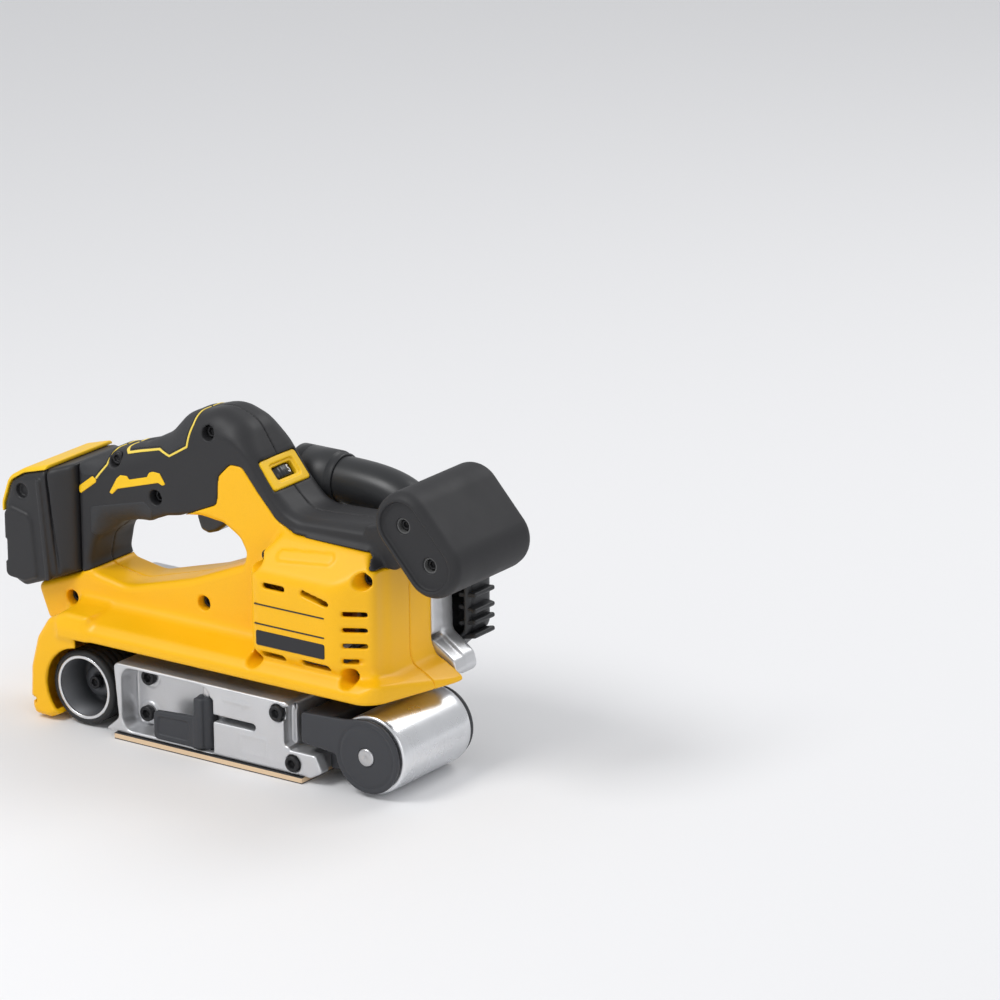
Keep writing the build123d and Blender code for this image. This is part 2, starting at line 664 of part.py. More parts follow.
def drive_belt():
    """The toothed belt from the motor to the drum."""
    small = MOTOR_TEETH * TOOTH_PITCH / (2 * pi)
    large = DRUM_TEETH * TOOTH_PITCH / (2 * pi)
    dx, dz = MOTOR_X - DRUM_X, MOTOR_Z - DRUM_Z
    run = atan2(dz, dx)
    wrap = (large - small) / hypot(dx, dz)

    def loop(grow):
        """One closed line round both pulleys, grown outward."""
        ends = []
        for side in (1, -1):
            angle = run + side * (pi / 2 - wrap)
            for x, z, radius in ((DRUM_X, DRUM_Z, large), (MOTOR_X, MOTOR_Z, small)):
                reach = radius + grow
                ends.append((x + reach * cos(angle), z + reach * sin(angle)))
        drum_back = (DRUM_X - (large + grow) * cos(run), DRUM_Z - (large + grow) * sin(run))
        motor_front = (MOTOR_X + (small + grow) * cos(run), MOTOR_Z + (small + grow) * sin(run))
        Line(ends[0], ends[1])
        ThreePointArc(ends[1], motor_front, ends[3])
        Line(ends[3], ends[2])
        ThreePointArc(ends[2], drum_back, ends[0])

    with BuildPart() as belt:
        for grow, mode in ((BELT_THICK, Mode.ADD), (0.05, Mode.SUBTRACT)):
            with BuildSketch(side_plane(BELT_PLANE[0])) as section:
                with BuildLine():
                    loop(grow)
                make_face()
            extrude(section.sketch, amount=BELT_PLANE[1] - BELT_PLANE[0], dir=(0, 1, 0), mode=mode)
    return belt.part


def drum_bearings():
    """Two ball bearings in the casting's tube, inside the drum."""
    outer, width = DRUM_BEARING
    with BuildPart() as bearings:
        for y_low in (9, 38):
            rod(DRUM_X, DRUM_Z, outer, y_low, y_low + width)
        rod(DRUM_X, DRUM_Z, DRUM_SHAFT_R + PLAY, 0, 50, mode=Mode.SUBTRACT)
    return bearings.part


def motor_bearings():
    """Two ball bearings of the rotor, one in the casing and one in the casting."""
    outer, width = SMALL_BEARING
    with BuildPart() as bearings:
        for y_low in (BUMP_NEAR + 3, 31):
            rod(MOTOR_X, MOTOR_Z, outer, y_low, y_low + width)
        rod(MOTOR_X, MOTOR_Z, SHAFT_R + PLAY, -40, 50, mode=Mode.SUBTRACT)
    return bearings.part


def stator_core():
    """The laminated stator ring with twelve inward teeth."""
    with BuildPart() as stator:
        rod(MOTOR_X, MOTOR_Z, 26.5, -16, 10)
        rod(MOTOR_X, MOTOR_Z, 22.0, -17, 11, mode=Mode.SUBTRACT)
        with Locations(side_plane(-3)):
            with Locations((MOTOR_X, MOTOR_Z)):
                with PolarLocations(19.3, 12):
                    Box(6.4, 4.4, 26)
        rod(MOTOR_X, MOTOR_Z, 16.0, -17, 11, mode=Mode.SUBTRACT)
    return stator.part


def stator_windings():
    """The copper end turns on both faces of the stator."""
    with BuildPart() as windings:
        for y_low, y_high in ((-21, -16), (10, 15)):
            rod(MOTOR_X, MOTOR_Z, 24.0, y_low, y_high)
        rod(MOTOR_X, MOTOR_Z, 17.0, -30, 30, mode=Mode.SUBTRACT)
    return windings.part


def motor_carrier():
    """The plastic ring that centres the stator in the casing."""
    with BuildPart() as carrier:
        rod(MOTOR_X, MOTOR_Z, 28.6, -10, 4)
        rod(MOTOR_X, MOTOR_Z, 26.52, -11, 5, mode=Mode.SUBTRACT)
    return carrier.part


def rotor_core():
    """The magnet rotor."""
    with BuildPart() as rotor:
        rod(MOTOR_X, MOTOR_Z, 15.5, -16, 10)
        rod(MOTOR_X, MOTOR_Z, SHAFT_R + 0.01, -17, 11, mode=Mode.SUBTRACT)
    return rotor.part


def rotor_shaft():
    """The motor's shaft, stepped down for its pulley."""
    with BuildPart() as shaft:
        rod(MOTOR_X, MOTOR_Z, SHAFT_R, -30, 48)
        rod(MOTOR_X, MOTOR_Z, SHAFT_R - 0.5, 48, 66)
    return shaft.part


def cooling_fan():
    """The radial fan that cools the motor."""
    with BuildPart() as fan:
        rod(MOTOR_X, MOTOR_Z, 24, 25.5, 27)
        rod(MOTOR_X, MOTOR_Z, 7, 18, 25.5)
        with Locations(side_plane(21.8)):
            with Locations((MOTOR_X, MOTOR_Z)):
                with PolarLocations(15, 11):
                    Box(17.5, 1.4, 7.6)
        rod(MOTOR_X, MOTOR_Z, SHAFT_R + 0.01, 10, 30, mode=Mode.SUBTRACT)
    return fan.part


def drive_casting():
    """The cast side plate that carries motor, drum and platen frame."""
    with BuildPart() as casting:
        slab(CAST_OUTLINE, FRAME_FAR, CAST_FAR, radius=3)
        slab([(24, 72), (30, 126), (92, 128), (103, 116), (104, 72)], BODY_FAR + 2.1, FRAME_FAR,
             radius=3)
        slab([(-96, 52.2), (-100, 70), (-72, 70), (-50, 66), (104, 70), (118, 61), (121, 52.2)],
             SKIRT_FAR + 0.1, FRAME_FAR)
        rod(MOTOR_X, MOTOR_Z, 24, BODY_FAR, SKIRT_FAR + 0.2)
        slab([(-104, 9), (-110, 22), (-107, 52), (-99, 66), (-74, 66), (-50, 62), (20, 68),
              (36, 120), (88, 122), (97, 112), (97, 70), (86, 60), (84, 10)],
             FRAME_FAR + 4, CAST_FAR, radius=4, mode=Mode.SUBTRACT)
        slab([(36, 80), (38, 118), (88, 120), (96, 110), (96, 80)], BODY_FAR + 4.5,
             FRAME_FAR + 5, radius=4, mode=Mode.SUBTRACT)
        rod(MOTOR_X, MOTOR_Z, SMALL_BEARING[0] + 3, BODY_FAR + 1, 39)
        rod(MOTOR_X, MOTOR_Z, SMALL_BEARING[0] + 0.02, 31, 40, mode=Mode.SUBTRACT)
        rod(MOTOR_X, MOTOR_Z, 6, BODY_FAR - 1, 40, mode=Mode.SUBTRACT)
        rod(DRUM_X, DRUM_Z, 14.5, 7, 48)
        rod(DRUM_X, DRUM_Z, DRUM_BEARING[0] + 0.02, 9, 49, mode=Mode.SUBTRACT)
        rod(DRUM_X, DRUM_Z, 7.5, 6, 49, mode=Mode.SUBTRACT)
        for x, z in FRAME_SCREWS_DEEP + FRAME_SCREWS_FACE:
            rod(x, z, 5.5, FRAME_FAR, 49)
            rod(x, z, 2.52, FRAME_FAR - 1, 50, mode=Mode.SUBTRACT)
        rod(TRACKING_AT[0], TRACKING_AT[1], 6, FRAME_FAR, CAST_FAR)
        rod(TRACKING_AT[0], TRACKING_AT[1], 2.5 + PLAY, 30, CAST_FAR + 1, mode=Mode.SUBTRACT)
        for x, z in COVER_SCREWS:
            rod(x, z, 4.5, FRAME_FAR + 1, CAST_FAR)
            rod(x, z, 1.72, FRAME_FAR + 3, CAST_FAR + 1, mode=Mode.SUBTRACT)
    return casting.part


def cover_outline(grow):
    """The cover's side view: round at the drum, a broad box at the motor."""
    with BuildSketch(side_plane(CAST_FAR)) as section:
        with BuildLine():
            FilletPolyline(*COVER_FRONT, radius=8, close=True)
        make_face()
        offset(amount=grow)
        with Locations((DRUM_X, DRUM_Z)):
            Circle(20.3 + grow)
        with BuildLine():
            Polyline((DRUM_X - 3, DRUM_Z + 20.0 + grow), (30, 112 + grow), (62, 54 - grow),
                     (DRUM_X + 6, DRUM_Z - 19.2 - grow), close=True)
        make_face()
        with Locations((DRUM_X, 50)):
            Circle(6.5 + grow)
    return section.sketch


def drive_cover():
    """The black finned cover over the drive belt."""
    with BuildPart() as cover:
        extrude(cover_outline(0), amount=COVER_FAR - CAST_FAR - 1.5, dir=(0, 1, 0))
        extrude(cover_outline(-1.5), amount=COVER_FAR - CAST_FAR, dir=(0, 1, 0))
        for row in range(6):
            block((104, 118), (CAST_FAR + 1, COVER_FAR - 3), (66 + 8 * row, 69 + 8 * row))
        extrude(cover_outline(-2.6), amount=COVER_FAR - CAST_FAR - 2.6, dir=(0, 1, 0),
                mode=Mode.SUBTRACT)
        for x, z in COVER_SCREWS:
            rod(x, z, 4.5, CAST_FAR, COVER_FAR - 1)
            rod(x, z, 3.4, COVER_FAR - 5, COVER_FAR + 1, mode=Mode.SUBTRACT)
            rod(x, z, 1.8, CAST_FAR - 1, COVER_FAR, mode=Mode.SUBTRACT)
    return cover.part


def cover_screws():
    """The screws of the drive cover, driven from the far side."""
    with BuildPart() as screws:
        for x, z in COVER_SCREWS:
            rod(x, z, 3.2, COVER_FAR - 5, COVER_FAR - 2)
            rod(x, z, 1.7, FRAME_FAR + 4, COVER_FAR - 5)
    return screws.part


# ---------------------------------------------------------------- controls
def trigger():
    """The trigger, swinging about a pin at its front."""
    x, z = TRIGGER_PIVOT
    blade = [(x - 4, z + 4), (x + 3, z + 4), (x + 3, z - 8), (-20, 114), (-27, 109.5),
             (-34, 108.5), (-38, 113), (-38.5, 124), (-36, 130)]
    with BuildPart() as lever:
        slab(blade, 0, 16, radius=2)
        rod(x, z, 2.0 + PLAY, -1, 17, mode=Mode.SUBTRACT)
    return lever.part


def trigger_pin():
    """The trigger's pin, held in both casing halves."""
    with BuildPart() as pin:
        rod(TRIGGER_PIVOT[0], TRIGGER_PIVOT[1], 2.0, -8, 24)
    return pin.part


def lock_button():
    """The button on the far side that holds the trigger's lock off."""
    with BuildPart() as button:
        rod(LOCK_AT[0], LOCK_AT[1], 5.0, 19.5, 31.0)
        chamfer(button.edges().filter_by(GeomType.CIRCLE).group_by(Axis.Y)[-1], 0.6)
    return button.part


def switch_module():
    """The sealed electronic switch above the trigger."""
    with BuildPart() as module:
        block((-50, -18), (-3, 14), (141, 159))
        block((-46, -22), (-1, 12), (159, 161))
    return module.part


def control_board():
    """The potted motor controller in the spine."""
    with BuildPart() as board:
        block((-72, -8), (-7, 23), (60, 72))
    return board.part


def motor_leads():
    """Three phase leads from the controller to the stator."""
    points = [(-8, 66), (6, 66), (20, 72), (29, 83), (34.3, 87)]
    with BuildPart() as leads:
        for y in (2, 6, 10):
            with BuildLine() as route:
                FilletPolyline(*[(x, y, z) for x, z in points], radius=5)
            with BuildSketch(Plane(origin=route.line @ 0, z_dir=route.line % 0)) as wire:
                Circle(1.3)
            sweep(wire.sketch, path=route.line)
    return leads.part


def housing_screws():
    """The ten screws that clamp the casing halves."""
    with BuildPart() as screws:
        for x, z in BODY_SCREWS:
            screw(x, z, BUMP_NEAR + 3, 20, 3.0, 1.7)
        for x, z in SPINE_SCREWS + GRIP_SCREWS:
            screw(x, z, BODY_NEAR + 4, 20, 3.0, 1.7)
    return screws.part


def rating_plate():
    """A blank plate on the motor housing."""
    with BuildPart() as plate:
        block((33, 79), (BUMP_NEAR - 0.8, BUMP_NEAR), (73, 81.5))
    return plate.part


# ---------------------------------------------------------------- dust outlet
def dust_elbow():
    """The bent tube that leads the dust back beside the handle."""
    y, bend, bore, outer = DUST_Y, 17.5, 10.8, 13.2
    path_points = [(30, y, DUST_Z), (86, y, DUST_Z), (86, y, 128.4)]
    with BuildPart() as elbow:
        with BuildLine() as path:
            FilletPolyline(*path_points, radius=bend)
        with BuildSketch(Plane(origin=path.line @ 0, z_dir=path.line % 0)) as wall:
            Circle(outer)
        sweep(wall.sketch, path=path.line)
        post(86, y, 15.2, 128.4, 131.0)
        with BuildSketch(Plane(origin=path.line @ 0, z_dir=path.line % 0)) as hollow:
            Circle(bore)
        sweep(hollow.sketch, path=path.line, mode=Mode.SUBTRACT)
    return elbow.part


def dust_collar():
    """The outlet sleeve that a hose or bag pushes onto."""
    with BuildPart() as collar:
        with Locations((19, DUST_Y, DUST_Z)):
            Cylinder(15.5, 26, rotation=(0, 90, 0))
        with Locations((34, DUST_Y, DUST_Z)):
            Cylinder(14.6, 4, rotation=(0, 90, 0))
        with Locations((18, DUST_Y, DUST_Z)):
            Cylinder(OUTLET_BORE, 24, rotation=(0, 90, 0), mode=Mode.SUBTRACT)
        with Locations((33, DUST_Y, DUST_Z)):
            Cylinder(13.22, 6, rotation=(0, 90, 0), mode=Mode.SUBTRACT)
    return collar.part


# ---------------------------------------------------------------- front handle
def knob_section(inset):
    """The oval side view of the front handle."""
    with BuildSketch(side_plane(0)) as section:
        with Locations(Location((*KNOB_CENTRE, 0), (0, 0, KNOB_TILT))):
            RectangleRounded(KNOB_LENGTH - 2 * inset, KNOB_THICK - 2 * inset, 17 - inset)
    return section.sketch


def knob_solid(inset, y_low, y_high):
    """The front handle's volume between two y values, inset all round."""
    with BuildPart() as knob:
        with Locations((0, y_low, 0)):
            add(knob_section(inset))
        extrude(amount=y_high - y_low, dir=(0, 1, 0))
    return knob.part


def pivot_relief(radius):
    """Round room about the handle's pivot for the bracket's two cheeks."""
    x, z = HANDLE_PIVOT
    with BuildPart() as relief:
        for y_low, y_high in ((BODY_NEAR - 0.6, -3.0), (19.0, BODY_FAR + 0.6)):
            rod(x, z, radius, y_low, y_high)
    return relief.part


def knob_core():
    """The rigid core of the front handle with its hinge lug."""
    x, z = HANDLE_PIVOT
    with BuildPart() as core:
        add(knob_solid(4, KNOB_NEAR + 4, KNOB_FAR - 4))
        rod(x, z, 9, -3.0, 19.0)
        slab([(x, z - 9), (x, z + 9), (x + 14, z + 12), (x + 14, z - 6)], -3.0, 19.0)
        add(pivot_relief(11.0), mode=Mode.SUBTRACT)
        rod(x, z, 4 + PLAY, -4, 20, mode=Mode.SUBTRACT)
        for hole_x, hole_z in KNOB_HOLES:
            rod(hole_x, hole_z, 3.6, KNOB_NEAR - 1, KNOB_NEAR + 10, mode=Mode.SUBTRACT)
            rod(hole_x, hole_z, 1.8, KNOB_NEAR, 12, mode=Mode.SUBTRACT)
    return core.part


def knob_grip():
    """The soft rubber sleeve of the front handle."""
    with BuildPart() as sleeve:
        add(knob_solid(0, KNOB_NEAR, KNOB_FAR))
        fillet(sleeve.faces().sort_by(Axis.Y)[0].edges(), 6)
        fillet(sleeve.faces().sort_by(Axis.Y)[-1].edges(), 6)
        add(knob_solid(4, KNOB_NEAR + 4, KNOB_FAR - 4), mode=Mode.SUBTRACT)
        add(knob_solid(8, KNOB_NEAR - 1, KNOB_NEAR + 5), mode=Mode.SUBTRACT)
        add(pivot_relief(11.0), mode=Mode.SUBTRACT)
        block((100, 131), (-3.0, 19.0), (120, 152), mode=Mode.SUBTRACT)
    return sleeve.part


def knob_screws():
    """The two screws seen in the front handle's end."""
    with BuildPart() as screws:
        for x, z in KNOB_HOLES:
            screw(x, z, KNOB_NEAR + 7, 8, 3.0, 1.7)
    return screws.part


def handle_pin():
    """The pin that the front handle swings on."""
    with BuildPart() as pin:
        rod(HANDLE_PIVOT[0], HANDLE_PIVOT[1], 4.0, BODY_NEAR + 0.5, BODY_FAR - 0.5)
    return pin.part


YELLOW = yellow_casing()
BLACK = black_grip()

PIECES = {
    "near_housing": lambda: halved(YELLOW, near=True),
    "far_housing": lambda: halved(YELLOW, near=False),
    "near_grip": lambda: halved(BLACK, near=True),
    "far_grip": lambda: halved(BLACK, near=False),
    "battery_dock": battery_dock,
    "dock_bumper": dock_bumper,
    "terminal_block": terminal_block,
    "terminal_blades": terminal_blades,
    "dial_bezel": dial_bezel,
    "speed_dial": speed_dial,
    "dial_spindle": dial_spindle,
    "platen_frame": platen_frame,
    "frame_screws": frame_screws,
    "cork_pad": cork_pad,
    "sole_sheet": sole_sheet,
    "sole_backing": sole_backing,
    "lever_pin": lever_pin,
    "tension_lever": tension_lever,
    "slide_bar": slide_bar,
    "tension_spring": tension_spring,
    "idler_yoke": idler_yoke,
    "steering_pin": steering_pin,
    "idler_axle": idler_axle,
    "idler_roller": idler_roller,
    "idler_bearings": idler_bearings,
    "tracking_knob": tracking_knob,
    "tracking_screw": tracking_screw,
    "drum_core": drum_core,
    "drum_rubber": drum_rubber,
    "drum_shaft": drum_shaft,
    "drum_screw": drum_screw,
    "drum_pulley": drum_pulley,
    "motor_pulley": motor_pulley,
    "drive_belt": drive_belt,
    "drum_bearings": drum_bearings,
    "motor_bearings": motor_bearings,
    "stator_core": stator_core,
    "stator_windings": stator_windings,
    "motor_carrier": motor_carrier,
    "rotor_core": rotor_core,
    "rotor_shaft": rotor_shaft,
    "cooling_fan": cooling_fan,
    "drive_casting": drive_casting,
    "drive_cover": drive_cover,
    "cover_screws": cover_screws,
    "trigger": trigger,
    "trigger_pin": trigger_pin,
    "lock_button": lock_button,
    "switch_module": switch_module,
    "control_board": control_board,
    "motor_leads": motor_leads,
    "housing_screws": housing_screws,
    "rating_plate": rating_plate,
    "dust_elbow": dust_elbow,
    "dust_collar": dust_collar,
    "knob_core": knob_core,
    "knob_grip": knob_grip,
    "knob_screws": knob_screws,
    "handle_pin": handle_pin,
}

for label, make in PIECES.items():
    piece = make()
    piece.label = label
    export_step(piece, f"parts/{label}.step")
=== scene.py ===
"""Looks of the handheld belt sander: detailed shells, castings and rollers round the frame.

Sizes are millimetres until a mesh is made, which is in metres, in the frame's own axes:
+X to the front roller, -Y to the open side, +Z up.
"""
import logging
import math
from dataclasses import dataclass, field
from enum import Enum
from typing import Callable, Iterable, Sequence

import bmesh
import bpy
import numpy as np
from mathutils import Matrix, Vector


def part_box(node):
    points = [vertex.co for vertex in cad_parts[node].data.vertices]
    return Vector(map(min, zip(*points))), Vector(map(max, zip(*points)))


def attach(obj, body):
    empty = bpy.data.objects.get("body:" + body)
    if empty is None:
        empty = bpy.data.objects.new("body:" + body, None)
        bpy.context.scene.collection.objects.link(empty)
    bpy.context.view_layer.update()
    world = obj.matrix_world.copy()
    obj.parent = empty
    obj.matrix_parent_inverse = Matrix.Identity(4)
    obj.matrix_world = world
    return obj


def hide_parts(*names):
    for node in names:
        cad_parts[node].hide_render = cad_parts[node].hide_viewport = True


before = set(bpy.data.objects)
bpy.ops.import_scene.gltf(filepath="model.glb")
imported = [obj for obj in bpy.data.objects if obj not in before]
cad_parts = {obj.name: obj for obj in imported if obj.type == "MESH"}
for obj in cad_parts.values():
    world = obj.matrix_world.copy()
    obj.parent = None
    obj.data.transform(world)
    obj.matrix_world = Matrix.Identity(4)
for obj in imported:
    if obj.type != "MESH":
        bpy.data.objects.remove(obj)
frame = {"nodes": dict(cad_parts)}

import openvdb as vdb
from mathutils import Matrix, Vector

log = logging.getLogger("belt_sander")
MM = 0.001
Point = tuple[float, float]
Array = np.ndarray


# ------------------------------------------------------------------ the frame's places
@dataclass(frozen=True)
class Span:
    """The box of a frame node, in millimetres."""

    low: tuple[float, float, float]
    high: tuple[float, float, float]

    @classmethod
    def of(cls, node: str) -> "Span":
        """Reads a node's box.

        Args:
            node: the node's name.

        Returns:
            The box in millimetres.
        """
        low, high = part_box(node)
        return cls(tuple(v / MM for v in low), tuple(v / MM for v in high))

    @property
    def centre(self) -> tuple[float, float, float]:
        """The middle of the box."""
        return tuple((a + b) / 2 for a, b in zip(self.low, self.high))

    @property
    def size(self) -> tuple[float, float, float]:
        """The box's length on each axis."""
        return tuple(b - a for a, b in zip(self.low, self.high))


# ------------------------------------------------------------------ flat outlines
def rounded(points: Sequence[Point], radii: float | Sequence[float], steps: int = 6) -> list[Point]:
    """Rounds the corners of a closed outline with arcs.

    Args:
        points: the corners in order.
        radii: one radius, or one for each corner.
        steps: pieces in each arc.

    Returns:
        The outline with its arcs as short edges.
    """
    corners = [np.array(p, float) for p in points]
    each = [radii] * len(corners) if isinstance(radii, (int, float)) else list(radii)
    outline: list[Point] = []
    for index, (corner, radius) in enumerate(zip(corners, each)):
        before = corners[index - 1] - corner
        after = corners[(index + 1) % len(corners)] - corner
        reach = min(np.linalg.norm(before), np.linalg.norm(after)) * 0.49
        before, after = before / np.linalg.norm(before), after / np.linalg.norm(after)
        half = math.acos(float(np.clip(before @ after, -0.9999, 0.9999))) / 2
        back = min(radius / math.tan(half), reach)
        radius = back * math.tan(half)
        start, end = corner + before * back, corner + after * back
        middle = corner + (before + after) / np.linalg.norm(before + after) * radius / math.sin(half)
        first = math.atan2(*(start - middle)[::-1])
        turn = (math.atan2(*(end - middle)[::-1]) - first + math.pi) % (2 * math.pi) - math.pi
        outline += [
            (middle[0] + radius * math.cos(first + turn * step / steps),
             middle[1] + radius * math.sin(first + turn * step / steps))
            for step in range(steps + 1)
        ]
    return outline


def capsule(start: Point, end: Point, radius: float, steps: int = 10) -> list[Point]:
    """The outline of a slot with round ends.

    Args:
        start: centre of one end.
        end: centre of the other end.
        radius: half the slot's width.
        steps: pieces in each round end.

    Returns:
        The closed outline.
    """
    along = math.atan2(end[1] - start[1], end[0] - start[0])
    outline = []
    for centre, first in ((end, along - math.pi / 2), (start, along + math.pi / 2)):
        outline += [(centre[0] + radius * math.cos(first + math.pi * k / steps),
                     centre[1] + radius * math.sin(first + math.pi * k / steps))
                    for k in range(steps + 1)]
    return outline


def join(first: Array, second: Array, fillet: float = 0.0) -> Array:
    """The union of two distance fields, with a fillet where they meet.

    Args:
        first: one distance field.
        second: the other distance field.
        fillet: size of the rounding in millimetres, or 0 for none.

    Returns:
        The distance field of the union.
    """
    if not fillet:
        return np.minimum(first, second)
    blend = np.maximum(fillet - np.abs(first - second), 0.0) / fillet
    return np.minimum(first, second) - blend * blend * fillet / 4


def common(first: Array, second: Array, fillet: float = 0.0) -> Array:
    """What two distance fields share, with the edge rounded."""
    return -join(-first, -second, fillet)


def without(first: Array, second: Array, fillet: float = 0.0) -> Array:
    """The first distance field less the second, with the edge rounded."""
    return -join(-first, second, fillet)


def ease(value: Array, start: float, end: float) -> Array:
    """Runs smoothly from 0 at start to 1 at end.

    Args:
        value: where to measure.
        start: where the run starts.
        end: where it ends.

    Returns:
        The eased share, between 0 and 1.
    """
    part = np.clip((value - start) / (end - start), 0.0, 1.0)
    return part * part * (3 - 2 * part)


class Grid:
    """A block of space on which shapes are held as distances, negative inside."""

    def __init__(self, low: Sequence[float], high: Sequence[float], pitch: float) -> None:
        """Lays out the block.

        Args:
            low: lowest corner in millimetres.
            high: highest corner in millimetres.
            pitch: spacing of the samples in millimetres.
        """
        self.low = np.array(low, np.float32)
        self.pitch = pitch
        axes = [np.arange(a, b + pitch, pitch, dtype=np.float32) for a, b in zip(low, high)]
        self.x = axes[0][:, None, None]
        self.y = axes[1][None, :, None]
        self.z = axes[2][None, None, :]
        self.shape = tuple(len(axis) for axis in axes)

    def outline(self, points: Sequence[Point], across: str = "y") -> Array:
        """Distance to a closed outline drawn square to one axis.

        Args:
            points: the outline's corners.
            across: the axis that the outline doesn't vary along.

        Returns:
            Distances that spread over the block.
        """
        u, v = {"y": (self.x, self.z), "z": (self.x, self.y), "x": (self.y, self.z)}[across]
        best = np.full(np.broadcast(u, v).shape, 1e9, np.float32)
        inside = np.zeros(best.shape, bool)
        for (au, av), (bu, bv) in zip(points, list(points[1:]) + [points[0]]):
            du, dv = bu - au, bv - av
            length = du * du + dv * dv
            if length < 1e-9:
                continue
            part = np.clip(((u - au) * du + (v - av) * dv) / length, 0.0, 1.0)
            best = np.minimum(best, (u - au - du * part) ** 2 + (v - av - dv * part) ** 2)
            if abs(dv) > 1e-9:
                inside ^= ((av > v) != (bv > v)) & (u < du * (v - av) / dv + au)
        return np.where(inside, -1, 1).astype(np.float32) * np.sqrt(best)

    def line(self, points: Sequence[Point]) -> Array:
        """Distance to an open line of straight pieces in the X-Z plane.

        Args:
            points: the line's corners, as (x, z).

        Returns:
            Distances that spread over the block.
        """
        best = np.full((self.shape[0], 1, self.shape[2]), 1e9, np.float32)
        for (au, av), (bu, bv) in zip(points, points[1:]):
            du, dv = bu - au, bv - av
            part = np.clip(((self.x - au) * du + (self.z - av) * dv) / (du * du + dv * dv), 0, 1)
            best = np.minimum(best, (self.x - au - du * part) ** 2 + (self.z - av - dv * part) ** 2)
        return np.sqrt(best)

    def between(self, axis: str, low: float, high: float) -> Array:
        """Distance to the slab between two heights on an axis."""
        return np.abs(getattr(self, axis) - (low + high) / 2) - (high - low) / 2

    def round_off(self, flat: Array, depth: Array, edge: float | Array) -> Array:
        """Crosses an outline with a slab, rounding the edge between them.

        Args:
            flat: distances to the outline.
            depth: distances to the slab.
            edge: radius of the edge.

        Returns:
            Distances to what they share.
        """
        a, b = flat + edge, depth + edge
        return np.minimum(np.maximum(a, b), 0) + np.hypot(np.maximum(a, 0), np.maximum(b, 0)) - edge

    def prism(self, flat: Array | Sequence[Point], low: float, high: float,
              edge: float | Array = 0.6, across: str = "y") -> Array:
        """An outline given depth along an axis.

        Args:
            flat: the outline's corners, or its distances.
            low: where the prism starts on the axis.
            high: where it ends.
            edge: radius of its edges.
            across: the axis it runs along.

        Returns:
            Distances to the prism.
        """
        distances = flat if isinstance(flat, np.ndarray) else self.outline(flat, across)
        return self.round_off(distances, self.between(across, low, high), edge)

    def rod(self, centre: Point, radius: float, low: float, high: float, edge: float = 0.4,
            across: str = "y") -> Array:
        """A round bar along an axis, from low to high, with rounded ends.

        Args:
            centre: a point on the axis, square to it.
            radius: the bar's radius.
            low: where it starts.
            high: where it ends.
            edge: radius of its end edges.
            across: the axis it runs along.

        Returns:
            Distances to the bar.
        """
        u, v = {"y": (self.x, self.z), "z": (self.x, self.y), "x": (self.y, self.z)}[across]
        flat = np.hypot(u - centre[0], v - centre[1]) - radius
        return self.round_off(flat, self.between(across, low, high), min(edge, radius * 0.9))

    def block(self, x: Point, y: Point, z: Point, edge: float = 0.6) -> Array:
        """A box between two limits on each axis, with rounded edges.

        Args:
            x: limits on X.
            y: limits on Y.
            z: limits on Z.
            edge: radius of its edges.

        Returns:
            Distances to the box.
        """
        sides = [self.between(axis, *limits) + edge for axis, limits in zip("xyz", (x, y, z))]
        outside = np.sqrt(sum(np.maximum(side, 0) ** 2 for side in sides))
        return outside + np.minimum(np.maximum(np.maximum(sides[0], sides[1]), sides[2]), 0) - edge

    def facing(self, normal: Sequence[float], point: Sequence[float]) -> Array:
        """Distance past a plane through a point, positive on the normal's side.

        Args:
            normal: the way the plane faces.
            point: a point on it.

        Returns:
            Signed distances to the plane.
        """
        n = np.array(normal, float) / np.linalg.norm(normal)
        return ((self.x - point[0]) * n[0] + (self.y - point[1]) * n[1]
                + (self.z - point[2]) * n[2]).astype(np.float32)

    def surface(self, distances: Array, name: str) -> bpy.types.Object:
        """Turns distances into a closed mesh.

        Args:
            distances: the shape on this block.
            name: the new object's name.

        Returns:
            The mesh object, in metres, with faces outwards.
        """
        band = 3.0
        cells = np.clip(np.broadcast_to(distances, self.shape) / self.pitch, -band, band)
        field_grid = vdb.FloatGrid(background=band)
        field_grid.copyFromArray(np.ascontiguousarray(cells, np.float32))
        points, triangles, quads = field_grid.convertToPolygons(isovalue=0.0, adaptivity=0.0)
        places = (points * self.pitch + self.low) * MM
        return new_mesh(name, places, triangles, quads)


# ------------------------------------------------------------------ mesh helpers
def new_mesh(name: str, places: Array, triangles: Array, quads: Array) -> bpy.types.Object:
    """Builds a smooth mesh object from arrays, turned so that its faces point outwards.

    Args:
        name: the new object's name.
        places: the points in metres.
        triangles: three point numbers a row.
        quads: four point numbers a row.

    Returns:
        The object, linked to the scene.
    """
    a, b, c, d = (places[quads[:, k]] for k in range(4))
    volume = np.einsum("ij,ij->i", a, np.cross(b, c)).sum() + np.einsum(
        "ij,ij->i", a, np.cross(c, d)).sum()
    if volume < 0:
        quads, triangles = quads[:, ::-1], triangles[:, ::-1]
    mesh = bpy.data.meshes.new(name)
    mesh.vertices.add(len(places))
    mesh.vertices.foreach_set("co", np.ascontiguousarray(places, np.float32).ravel())
    corners = np.concatenate([quads.ravel(), triangles.ravel()]).astype(np.int32)
    mesh.loops.add(len(corners))
    mesh.loops.foreach_set("vertex_index", corners)
    sizes = np.array([4] * len(quads) + [3] * len(triangles), np.int32)
    mesh.polygons.add(len(sizes))
    mesh.polygons.foreach_set("loop_start", np.concatenate([[0], np.cumsum(sizes)[:-1]]))
    mesh.polygons.foreach_set("use_smooth", np.ones(len(sizes), bool))
    mesh.update(calc_edges=True)
    return link(name, mesh)


